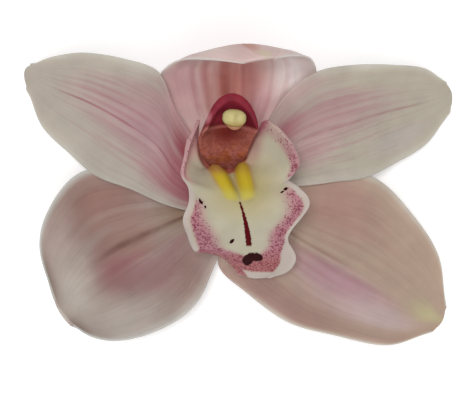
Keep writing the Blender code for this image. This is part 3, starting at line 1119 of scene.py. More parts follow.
class LipPainter:
    """Lays the lip's colours over each other, from its cream ground to its dark marks."""

    def __init__(self, finish: LipFinish, skin: Skin) -> None:
        """Finds the places on the lip that its colours follow.

        Args:
            finish: the lip's colours and places.
            skin: the material to paint.
        """
        self.finish = finish
        self.skin = skin
        self.wires = skin.wires
        self.along, self.across = skin.along_and_across()
        self.edge = self.wires.math("ABSOLUTE", self.across)
        self.x, self.y, _ = self.wires.parts(skin.place)
        self.flat = self.wires.joined(self.x, self.y)
        self.right_half = self.wires.step(self.across, *finish.right_half_across)
        self.lobes_end = self.wires.step(self.along, *finish.lobes_end_along)
        self.density = self.wires.math("MAXIMUM", self.band(), self.side_lobes())
        self.bare = self.wires.less(1.0, self.density)
        self.dots = self.speckles()

    def speckles(self) -> Socket:
        """The fine speckles, which thin out where the density falls.

        Returns:
            Their mask.
        """
        crowd = self.wires.math("POWER", self.density, self.finish.speckle_power)
        crowd = self.wires.product(crowd, self.finish.speckle_crowd)
        return self.wires.effect(
            self.skin.effects.speckles, Place=self.skin.place,
            Spacing=self.finish.speckle_spacing, Density=crowd,
        )[0]

    def band(self) -> Socket:
        """How thick the speckles stand in the band that follows the rim of the mid-lobe.

        Returns:
            Their density, from 0 to 1.
        """
        wires, finish = self.wires, self.finish
        narrowing = wires.step(self.along, *finish.band_inside_along)
        closing = wires.step(self.along, *finish.band_closing_along)
        past_inside = wires.less(self.edge, wires.total(narrowing, closing))
        right = wires.step(self.along, *finish.band_right_along)
        left = wires.step(self.along, *finish.band_left_along)
        past_outside = wires.less(self.edge, wires.between(self.right_half, left, right))
        foot_left = wires.step(self.across, *finish.band_foot_across)
        foot_right = wires.step(self.along, *finish.band_foot_along)
        return wires.product(
            wires.step(past_inside, *finish.band_inside_fade),
            wires.step(past_outside, *finish.band_outside_fade),
            wires.math("MAXIMUM", foot_left, foot_right),
            wires.step(self.along, *finish.band_start_along),
        )

    def side_lobes(self) -> Socket:
        """How thick the speckles stand on the two side lobes.

        Returns:
            Their density, from 0 to 1.
        """
        wires, finish = self.wires, self.finish
        right_rim = wires.step(self.edge, *finish.right_lobe_edge)
        right = wires.product(right_rim, wires.step(self.along, *finish.right_lobe_along))
        left = wires.product(wires.step(self.edge, *finish.left_lobe_edge), finish.left_lobe_density)
        lobes = wires.product(wires.step(self.along, *finish.lobes_start_along), self.lobes_end)
        return wires.product(lobes, wires.between(self.right_half, left, right))

    def ground(self) -> Socket:
        """The cream with its yellow glow, its flush, its pink left lobe, painted lighter against the shade on
        its steep wall, and the haze under its speckles.

        Returns:
            The colour.
        """
        wires, finish = self.wires, self.finish
        glow = wires.product(finish.glow_area.mask(self.skin, self.flat), finish.glow_share)
        colour = wires.tint(glow, finish.cream, finish.glow)
        flush = wires.product(finish.flush_area.mask(self.skin, self.flat), finish.flush_share)
        colour = wires.tint(flush, colour, finish.flush)
        haze = wires.tint(wires.step(self.along, *finish.low_haze_along), finish.haze, finish.low_haze)
        # The left lobe's pink, partly painted light against the shade on its steep wall.
        pink = wires.product(wires.step(self.across, *finish.pink_lobe_across), self.lobes_end)
        colour = wires.tint(pink, colour, finish.lobe)
        return wires.tint(wires.product(self.density, finish.haze_share), colour, haze)

    def rims(self, colour: Socket) -> Socket:
        """The pale rim of the mid-lobe, its pale foot and the mauve tip of the right lobe.

        Args:
            colour: the colour that they lie on.

        Returns:
            The colour with them.
        """
        wires, finish = self.wires, self.finish
        rim = wires.step(self.edge, *finish.rim_edge)
        side = wires.product(rim, wires.step(self.along, *finish.rim_along))
        corner = finish.foot_area.mask(self.skin, self.flat)
        foot = wires.step(self.along, *finish.foot_rim_along)
        for place in (side, corner, foot):
            colour = wires.tint(wires.product(place, self.bare), colour, finish.rim)
        tip_across = wires.step(self.across, *finish.lobe_tip_across)
        tip_along = wires.step(self.along, *finish.lobe_tip_along)
        return wires.tint(wires.product(tip_across, tip_along, finish.tip_share), colour, finish.tip)

    def trough(self, colour: Socket) -> Socket:
        """The throat's brown at the back of the trough.

        Args:
            colour: the colour that it lies on.

        Returns:
            The colour with it.
        """
        wires, finish = self.wires, self.finish
        stain = wires.product(
            finish.throat_area.mask(self.skin, self.flat), wires.step(self.along, *finish.throat_end_along),
            wires.step(self.across, *finish.throat_left_across),
        )
        return wires.tint(stain, colour, finish.throat.colour(self.skin))

    def keels(self, colour: Socket) -> Socket:
        """The keels: amber at the rear, amber on their flanks, partly as painted shade beside the ridges,
        then yellow, and pale at their front.

        Args:
            colour: the colour that they lie on.

        Returns:
            The colour with them.
        """
        wires, finish = self.wires, self.finish
        keel = self.skin.attribute("keel")
        front = wires.step(self.y, *finish.keel_front_y)
        rear = wires.product(wires.step(self.y, *finish.keel_rear_y), wires.step(self.x, *finish.keel_rear_x))
        flank = wires.tint(front, finish.amber, finish.pale_keel)
        top = wires.tint(front, wires.tint(rear, finish.keel, finish.amber), finish.pale_keel)
        # Partly painted shade: amber on the keels' lower flanks.
        low = wires.product(wires.step(keel, *finish.keel_flank_shade), finish.keel_flank_shade_share)
        colour = wires.tint(low, colour, flank)
        return wires.tint(wires.step(keel, *finish.keel_top), colour, top)

    def ragged_marks(self) -> Socket:
        """Where the dark marks lie, with ragged edges.

        Returns:
            Their mask.
        """
        wires, finish = self.wires, self.finish
        noise = wires.noise(self.skin.place, finish.mark_fineness, 3.0)
        warp = wires.math("MULTIPLY_ADD", noise, finish.mark_raggedness, -finish.mark_raggedness / 2)
        ragged = wires.vector("ADD", self.flat, wires.joined(warp, warp))
        spots = [mark.mask(self.skin, ragged) for mark in finish.marks]
        return reduce(lambda dark, spot: wires.math("MAXIMUM", dark, spot), spots)

    def centre_line(self) -> Socket:
        """The maroon line that runs from the keels to the blotch and widens on its way.

        Returns:
            The line's mask.
        """
        wires, finish = self.wires, self.finish
        down = wires.product(self.y, -1.0)
        slope = wires.product(down, finish.line_slope)
        bend = wires.math("MULTIPLY_ADD", wires.product(down, down), -finish.line_bend, slope)
        noise = wires.noise(self.flat, finish.line_fineness, 4.0)
        ragged = wires.math("MULTIPLY_ADD", noise, finish.line_raggedness, -finish.line_raggedness / 2)
        off = wires.math("ABSOLUTE", wires.total(wires.less(self.x, bend), ragged))
        past = wires.less(off, wires.step(down, *finish.line_half_width_down))
        return wires.product(
            wires.step(past, *finish.line_fade), wires.step(down, *finish.line_start_down),
            wires.step(down, *finish.line_end_down),
        )

    def painted(self) -> bpy.types.Material:
        """The lip with all its colours, and its plain back.

        Returns:
            The material.
        """
        wires, finish = self.wires, self.finish
        colour = self.rims(self.ground())
        colour = wires.tint(wires.product(self.dots, finish.speckle_share), colour, finish.speckle)
        colour = self.keels(self.trough(colour))
        colour = wires.tint(self.ragged_marks(), colour, finish.mark)
        colour = wires.tint(self.centre_line(), colour, finish.line)
        behind = wires.tint(wires.product(self.density, finish.back_haze_share), finish.back, finish.haze)
        colour = wires.tint(self.skin.attribute("front"), behind, colour)
        return self.skin.finish(colour, self.dots, finish.relief)


@dataclass(frozen=True)
class Keel:
    """How a keel runs.

    Its rear and its front say how far it is there from the lip's middle line, in millimetres, and its
    power says how it bends between them.
    """

    rear: float
    front: float
    power: float


@dataclass
class Lip(Piece):
    """The lip: a trough with two side lobes that opens into the mid-lobe, with two keels on its floor."""

    node: str = "lip"
    slot: str = "lip_cream"
    rails: Rails = LIP_RAILS
    thickness: float = 0.8
    opening: Ramp = Ramp(0.38, 0.53)
    left_trough_turn: tuple[float, float] = (1.35, -0.3)
    right_trough_turn: tuple[float, float] = (0.5, -0.1)
    mid_lobe_turn: tuple[float, float] = (0.55, 0.2)
    keel_height: float = 1.9
    keel_half_width: float = 2.0
    keel_rear_share: float = 0.6
    keel_widening: float = 0.9
    keel_squareness: float = 2.6
    keel_span: tuple[float, float] = (0.26, 0.56)
    left_keel: Keel = Keel(4.3, 2.3, 0.55)
    right_keel: Keel = Keel(4.1, 1.5, 1.0)
    roll: float = 0.35
    roll_across: Ramp = Ramp(0.8, 0.95)
    roll_along: Ramp = Ramp(0.5, 0.58)
    ruffle: float = 0.22
    ruffles: float = 34.0
    ruffle_slant: float = 2.0
    ruffle_along: Ramp = Ramp(0.25, 0.4)
    crowding: float = 1.35
    grid: tuple[int, int] = (190, 130)
    finish: LipFinish = LipFinish()

    def face(self, u: float, v: float) -> Vector:
        """The inner face without its keels.

        Args:
            u: the place along the lip, from its claw to its tip.
            v: the place across it, from -1 to 1.

        Returns:
            The point in the tables' frame.
        """
        left, floor, right = self.rails
        middle = through(floor, u)
        margin = through(right if v > 0 else left, u)
        trough_turn = self.right_trough_turn if v > 0 else self.left_trough_turn
        out, forward = Vector(trough_turn).lerp(Vector(self.mid_lobe_turn), self.opening.share(u))
        turn = middle + Vector(((margin.x - middle.x) * out, (margin.y - middle.y) * forward, 0))
        t = abs(v)
        return middle * (1 - t) ** 2 + turn * (2 * t * (1 - t)) + margin * t * t

    def keel(self, u: float, v: float) -> float:
        """How far the keels stand up.

        Args:
            u: the place along the lip.
            v: the place across it.

        Returns:
            The height, from 0 to 1.
        """
        start, end = self.keel_span
        if not start < u < end:
            return 0.0
        along = (u - start) / (end - start)
        distance = (self.face(u, v) - through(self.rails[1], u)).length
        keel = self.right_keel if v > 0 else self.left_keel
        widened = math.sin(math.pi * min(self.keel_widening * along, 0.5))
        half_width = self.keel_half_width * (self.keel_rear_share + (1 - self.keel_rear_share) * widened)
        ridge = keel.rear + (keel.front - keel.rear) * along ** keel.power
        across = abs(distance - ridge) / half_width
        return math.sqrt(math.sin(math.pi * along)) * math.exp(-across ** self.keel_squareness)

    def rim(self, u: float, v: float) -> float:
        """How far the rim rolls up round the mid-lobe and ruffles, in millimetres.

        Args:
            u: the place along the lip.
            v: the place across it.

        Returns:
            The height.
        """
        roll = self.roll * self.roll_across.share(abs(v)) * self.roll_along.share(u)
        turn = self.ruffles * u + self.ruffle_slant * v
        return roll + self.ruffle * abs(v) ** 5 * math.sin(turn) * self.ruffle_along.share(u)

    def shape(self) -> bmesh.types.BMesh:
        """The inner face with its keels, the plain back and the rim that joins them.

        Returns:
            The mesh.
        """
        body = bmesh.new()
        keels = body.verts.layers.float.new("keel")
        fronts = body.verts.layers.float.new("front")
        places = {}
        for is_front in (True, False):
            side = {point: (u, math.copysign(abs(v) ** self.crowding, v))
                    for point, (u, v) in laid_out(body, self.grid).items()}
            for point, place in side.items():
                point.co = metres(self.face(*place))
            body.normal_update()
            for point, normal in [(point, point.normal.copy()) for point in side]:
                point[fronts] = float(is_front)
                point[keels] = self.keel(*side[point]) if is_front else 0.0
                raised = point[keels] * self.keel_height if is_front else -self.thickness
                point.co += normal * ((self.rim(*side[point]) + raised) * MM)
            places.update(side)
        map_places(body, places)
        bmesh.ops.bridge_loops(body, edges=[edge for edge in body.edges if edge.is_boundary])
        bmesh.ops.recalc_face_normals(body, faces=body.faces)
        return body


@dataclass(frozen=True)
class ColumnFinish:
    """The column: a maroon hood with painted shade round the cap, the throat's brown on its face below the
    ledge, and a paler back.
    """

    name: str = "column_maroon_rust"
    hood: Colour = paint(138, 42, 58)
    deep: Colour = paint(92, 14, 26)
    halo: Colour = paint(176, 110, 116)
    blush: Colour = paint(178, 104, 100)
    back: Colour = paint(168, 128, 106)
    throat: ThroatFinish = ThroatFinish()
    # Painted shade on the hood round the cap, and how strong it is.
    cap_shade_area: Mark = Mark(0.2, 18.0, 5.5, 3.2, 0, 0.6)
    cap_shade_share: float = 0.6
    halo_area: Mark = Mark(-7.4, 19.2, 0.9, 1.5, -25, 0.9)
    shade: Ramp = Ramp(0.35, 0.65)
    shade_fineness: float = 0.5
    shade_share: float = 0.3
    ledge: Ramp = Ramp(-0.2, 0.15)
    blush_below: float = 0.75
    shadow_below: float = 0.05
    line_fade: tuple[float, float] = (0.075, 0.5)
    line_share: float = 0.6
    hood_from: Ramp = Ramp(0.45, 0.8)
    roughness: float = 0.5
    gloss: float = 0.08
    relief: float = 0.06

    def material(self, effects: Effects) -> bpy.types.Material:
        """The column's material.

        Args:
            effects: the shared groups.

        Returns:
            The material, which reads the piece's attributes front and height.
        """
        skin = Skin(self.name, effects, self.roughness, self.gloss)
        wires = skin.wires
        below = self.throat.below_ledge(skin)
        shade = wires.step(wires.noise(skin.place, self.shade_fineness), *self.shade)
        hood = wires.tint(wires.product(shade, self.shade_share), self.hood, self.deep)
        # Painted shade on the hood next to the cap.
        hood = wires.tint(wires.product(self.cap_shade_area.mask(skin), self.cap_shade_share), hood, self.deep)
        hood = wires.tint(self.halo_area.mask(skin), hood, self.halo)
        inside = wires.tint(wires.step(below, *self.ledge), hood, self.throat.colour(skin))
        for middle, colour in ((self.blush_below, self.blush), (self.shadow_below, self.deep)):
            line = wires.fall(wires.away(below, middle), *self.line_fade)
            inside = wires.tint(wires.product(line, self.line_share), inside, colour)
        outside = wires.tint(wires.step(skin.attribute("height"), *self.hood_from), self.back, hood)
        colour = wires.tint(skin.attribute("front"), outside, inside)
        return skin.finish(colour, shade, self.relief)


@dataclass
class Column(Piece):
    """The column: a crescent section that grows from a round foot into the hood."""

    node: str = "column"
    slot: str = "column_maroon"
    stations: tuple[Station, ...] = (
        Station((-0.6, 2.0, 11.8), 2.0, 0.6, 1.8, 38),
        Station((-1.3, 4.4, 15.5), 2.6, 0.8, 1.8, 38),
        Station((-2.9, 8.0, 20.0), 4.2, 1.6, 1.6, 38),
        Station((-3.6, 12.0, 25.0), 5.6, 2.8, 1.3, 36),
        Station((-3.2, 16.2, 29.6), 6.2, 4.4, 1.2, 29),
        Station((-2.4, 19.9, 33.2), 6.2, 6.2, 1.1, 16),
        Station((-1.7, 22.3, 36.6), 6.1, 7.6, 1.1, 3),
        Station((-1.6, 22.5, 37.4), 6.0, 7.7, 0.7, 2),
    )
    wing_angle: float = math.radians(62)
    rounded_end: float = 0.035
    end_share: float = 0.1
    front_edge: Ramp = Ramp(-0.7, -0.4)
    crowding: float = 1.5
    grid: tuple[int, int] = (90, 96)
    finish: ColumnFinish = ColumnFinish()

    def place(self, u: float, turn: float) -> Vector:
        """A point of the column's surface.

        Args:
            u: the place along it, from its foot to the rim of the hood.
            turn: the angle round its wall, from 0 to a full turn.

        Returns:
            The point in the tables' frame.
        """
        middle = through([station.middle for station in self.stations], u)
        half_width, wing_depth, half_wall = through([station[1:4] for station in self.stations], u)
        tilt = math.radians(through([(station.tilt, 0, 0) for station in self.stations], u).x)
        back = Vector((0, math.cos(tilt), -math.sin(tilt)))
        near_end = max(u - 1 + self.rounded_end, 0.0) / self.rounded_end
        half_wall *= math.sqrt(max(1 - near_end ** 2, self.end_share ** 2))
        width_scale = half_width / math.sin(self.wing_angle)
        depth_scale = wing_depth / (1 - math.cos(self.wing_angle))
        angle = self.wing_angle * math.cos(turn)
        outward = Vector((depth_scale * math.sin(angle), 0, 0)) + back * (width_scale * math.cos(angle))
        middle += Vector((width_scale * math.sin(angle), 0, 0)) - back * (depth_scale * (1 - math.cos(angle)))
        return middle + outward.normalized() * (half_wall * math.sin(turn))

    def shape(self) -> bmesh.types.BMesh:
        """The column's wall, with the side that faces the lip marked and its height from the foot.

        Returns:
            The mesh.
        """
        body = bmesh.new()
        fronts = body.verts.layers.float.new("front")
        heights = body.verts.layers.float.new("height")
        for point, (along, across) in laid_out(body, self.grid).items():
            u = 1 - (1 - along) ** self.crowding
            turn = math.pi * (across + 1)
            point[fronts] = self.front_edge.share(-math.sin(turn))
            point[heights] = u
            point.co = metres(self.place(u, turn))
        close_tube(body)
        bmesh.ops.recalc_face_normals(body, faces=body.faces)
        return body


@dataclass(frozen=True)
class WaxFinish:
    """A smooth waxy finish of two colours, one above the other along Y, and a third in its groove."""

    name: str
    upper: Colour
    lower: Colour
    low_y: float
    high_y: float
    groove: Colour
    roughness: float = 0.38
    gloss: float = 0.3
    relief: float = 0.05

    def material(self, effects: Effects) -> bpy.types.Material:
        """The waxy material.

        Args:
            effects: the shared groups.

        Returns:
            The material, which reads the piece's attribute groove.
        """
        skin = Skin(self.name, effects, self.roughness, self.gloss)
        wires = skin.wires
        _, y, _ = wires.parts(skin.place)
        colour = wires.tint(wires.step(y, self.low_y, self.high_y), self.lower, self.upper)
        colour = wires.tint(skin.attribute("groove"), colour, self.groove)
        return skin.finish(colour, 0.0, self.relief)


@dataclass
class AntherCap(Piece):
    """The cap under the hood: a rounded helmet with a groove down its middle."""

    node: str = "anther_cap"
    slot: str = "cap_cream"
    middle: Point = (-1.1, 17.7, 37.4)
    half_size: Point = (2.8, 2.0, 2.0)
    groove: float = 0.22
    groove_half_width: float = 0.28
    groove_middle: float = 0.2
    groove_tint: float = 0.4
    squareness: float = 0.07
    lean: float = math.radians(-6)
    # The cap's lower colour, darker amber towards low Y, is partly painted shade on its lower side.
    finish: WaxFinish = WaxFinish(
        "cap_cream_wax", paint(194, 182, 126), paint(178, 150, 84), 17.0, 18.6, paint(166, 144, 80),
    )

    def shape(self) -> bmesh.types.BMesh:
        """The cap, from a sphere that is squared, dented and leaned.

        Returns:
            The mesh.
        """
        body = bmesh.new()
        grooves = body.verts.layers.float.new("groove")
        bmesh.ops.create_uvsphere(body, u_segments=56, v_segments=36, radius=1.0)
        width, height, depth = self.half_size
        for point in body.verts:
            x, y, z = point.co
            dent = math.exp(-(((x - self.groove_middle) / self.groove_half_width) ** 2)) * max(z, 0.0)
            squared = 1 + self.squareness * math.sin(2 * math.atan2(abs(y), abs(x)))
            point[grooves] = self.groove_tint * dent * dent
            shape = Vector((x * squared * width, y * squared * height, z * (1 - self.groove * dent) * depth))
            shape.xy = (
                shape.x * math.cos(self.lean) - shape.y * math.sin(self.lean),
                shape.x * math.sin(self.lean) + shape.y * math.cos(self.lean),
            )
            point.co = metres(Vector(self.middle) + shape)
        return body


@dataclass
class Pollinarium(Piece):
    """The pale crescent that shows below the cap."""

    node: str = "pollinarium"
    slot: str = "pollinarium_pale"
    middle: Point = (-1.0, 15.6, 35.2)
    half_size: Point = (2.0, 0.7, 0.7)
    bend: float = 0.18
    finish: WaxFinish = WaxFinish(
        "pollinarium_wax", paint(190, 140, 100), paint(178, 120, 92), 16.4, 17.6, paint(150, 100, 60), 0.3,
    )

    def shape(self) -> bmesh.types.BMesh:
        """The crescent, from a sphere that is drawn out and bent; it has no groove.

        Returns:
            The mesh.
        """
        body = bmesh.new()
        grooves = body.verts.layers.float.new("groove")
        bmesh.ops.create_uvsphere(body, u_segments=40, v_segments=24, radius=1.0)
        for point in body.verts:
            point[grooves] = 0.0
            x, y, z = (value * half for value, half in zip(point.co, self.half_size))
            point.co = metres(Vector(self.middle) + Vector((x, y + self.bend * x * x, z)))
        return body


@dataclass(frozen=True)
class StalkFinish:
    """Waxy green with a faint red flush and a pale cut end."""

    name: str = "stalk_green_wax"
    green: Colour = paint(142, 152, 92)
    light: Colour = paint(176, 178, 124)
    flush: Colour = paint(150, 104, 88)
    cut: Colour = paint(214, 214, 176)
    flush_along: Ramp = Ramp(0.02, 0.3, 0.55, 0.0)
    ribs: int = 3
    roughness: float = 0.4
    gloss: float = 0.3
    relief: float = 0.1

    def material(self, effects: Effects) -> bpy.types.Material:
        """The stalk's material.

        Args:
            effects: the shared groups.

        Returns:
            The material, which reads the piece's UV map and its attribute cut.
        """
        skin = Skin(self.name, effects, self.roughness, self.gloss)
        wires = skin.wires
        along, across = skin.along_and_across()
        ribs = wires.step(wires.math("SINE", wires.product(across, self.ribs * math.pi)), -1.0, 1.0)
        colour = wires.tint(ribs, self.green, self.light)
        colour = wires.tint(wires.step(along, *self.flush_along), colour, self.flush)
        colour = wires.tint(skin.attribute("cut"), colour, self.cut)
        return skin.finish(colour, ribs, self.relief)


@dataclass
class Stalk(Piece):
    """The ovary and its pedicel: one tapered, faintly ribbed stalk with a plain cut end."""

    node: str = "stalk"
    slot: str = "stalk_green"
    line: Rail = STALK_LINE
    radius: float = 3.0
    radii: tuple[float, ...] = (0.8, 0.92, 1.0, 0.96, 0.82, 0.7)
    ribs: int = 3
    ribbing: float = 0.05
    side: Point = (0.56, 0.83, 0.0)
    aim: float = 0.01
    cut_end: Ramp = Ramp(0.99, 1.0)
    cut_rim: float = 0.2
    grid: tuple[int, int] = (120, 48)
    finish: StalkFinish = StalkFinish()

    def shape(self) -> bmesh.types.BMesh:
        """The stalk's skin, rolled round its line, with flat ends.

        Returns:
            The mesh.
        """
        body = bmesh.new()
        cuts = body.verts.layers.float.new("cut")
        places = laid_out(body, self.grid)
        map_places(body, places)
        side = Vector(self.side).normalized()
        for point, (u, across) in places.items():
            turn = math.pi * (across + 1)
            behind = through(self.line, max(u - self.aim, 0.0))
            ahead = through(self.line, min(u + self.aim, 1.0))
            up = (ahead - behind).normalized().cross(side).normalized()
            share = through([(radius, 0, 0) for radius in self.radii], u).x
            radius = self.radius * share * (1 - self.ribbing * (1 - math.cos(self.ribs * turn)) / 2)
            point[cuts] = self.cut_end.share(u)
            outward = side * math.cos(turn) + up * math.sin(turn)
            point.co = metres(through(self.line, u) + outward * radius)
        bmesh.ops.inset_region(body, faces=close_tube(body), thickness=self.cut_rim * MM, depth=0.0)
        bmesh.ops.recalc_face_normals(body, faces=body.faces)
        return body


@dataclass(frozen=True)
class Lamp:
    """A broad sun: its name, its strength, and in degrees how wide it is and the angles that tilt it."""

    name: str
    strength: float
    width: float
    tilt: tuple[float, float]

    def build(self) -> None:
        """Adds the lamp."""
        light = bpy.data.lights.new(self.name, "SUN")
        light.energy = self.strength
        light.angle = math.radians(self.width)
        lamp = bpy.data.objects.new(self.name, light)
        lamp.rotation_euler = (math.radians(self.tilt[0]), math.radians(self.tilt[1]), 0.0)
        bpy.context.scene.collection.objects.link(lamp)


@dataclass
class Studio:
    """The pale surface, the soft light and the camera that looks straight down on the bloom.

    The camera's place and the half size of the surface are in metres, its lens in millimetres.
    """

    camera_place: Point = (-0.002125, -0.000125, 0.395)
    lens: float = 118.96
    sky: float = 0.25
    surface_half_size: float = 3.0
    surface_colour: Colour = (0.93, 0.93, 0.93)
    surface_glow: float = 0.2
    lamps: tuple[Lamp, ...] = (
        Lamp("soft_key", 1.7, 16, (-4, -4)),
        Lamp("soft_fill", 0.8, 40, (26, 4)),
    )

    def add_surface(self) -> None:
        """Adds the pale surface that the bloom lies on."""
        surface = bmesh.new()
        bmesh.ops.create_grid(surface, x_segments=1, y_segments=1, size=self.surface_half_size)
        mesh = bpy.data.meshes.new("pale_surface")
        surface.to_mesh(mesh)
        surface.free()
        look = bpy.data.materials.new("pale_surface")
        look.use_nodes = True
        shader = look.node_tree.nodes["Principled BSDF"]
        shader.inputs["Base Color"].default_value = (*self.surface_colour, 1.0)
        shader.inputs["Roughness"].default_value = 0.9
        shader.inputs["Specular IOR Level"].default_value = 0.0
        shader.inputs["Emission Color"].default_value = (1.0, 1.0, 1.0, 1.0)
        shader.inputs["Emission Strength"].default_value = self.surface_glow
        mesh.materials.append(look)
        floor = bpy.data.objects.new("pale_surface", mesh)
        bpy.context.scene.collection.objects.link(floor)

    def add_light(self) -> None:
        """Adds the even sky and the lamps."""
        world = bpy.data.worlds.new("soft_sky")
        world.use_nodes = True
        background = world.node_tree.nodes["Background"]
        background.inputs["Color"].default_value = (1.0, 1.0, 1.0, 1.0)
        background.inputs["Strength"].default_value = self.sky
        bpy.context.scene.world = world
        for lamp in self.lamps:
            lamp.build()

    def add_camera(self) -> None:
        """Adds the camera, which looks straight down."""
        camera = bpy.data.cameras.new("camera")
        camera.sensor_width = 36.0
        camera.lens = self.lens
        camera.clip_start = 0.01
        viewer = bpy.data.objects.new("camera", camera)
        viewer.location = self.camera_place
        bpy.context.scene.collection.objects.link(viewer)
        bpy.context.scene.camera = viewer

    def build(self) -> None:
        """Adds the surface, the light and the camera."""
        bpy.context.scene.view_settings.view_transform = "Standard"
        self.add_surface()
        self.add_light()
        self.add_camera()


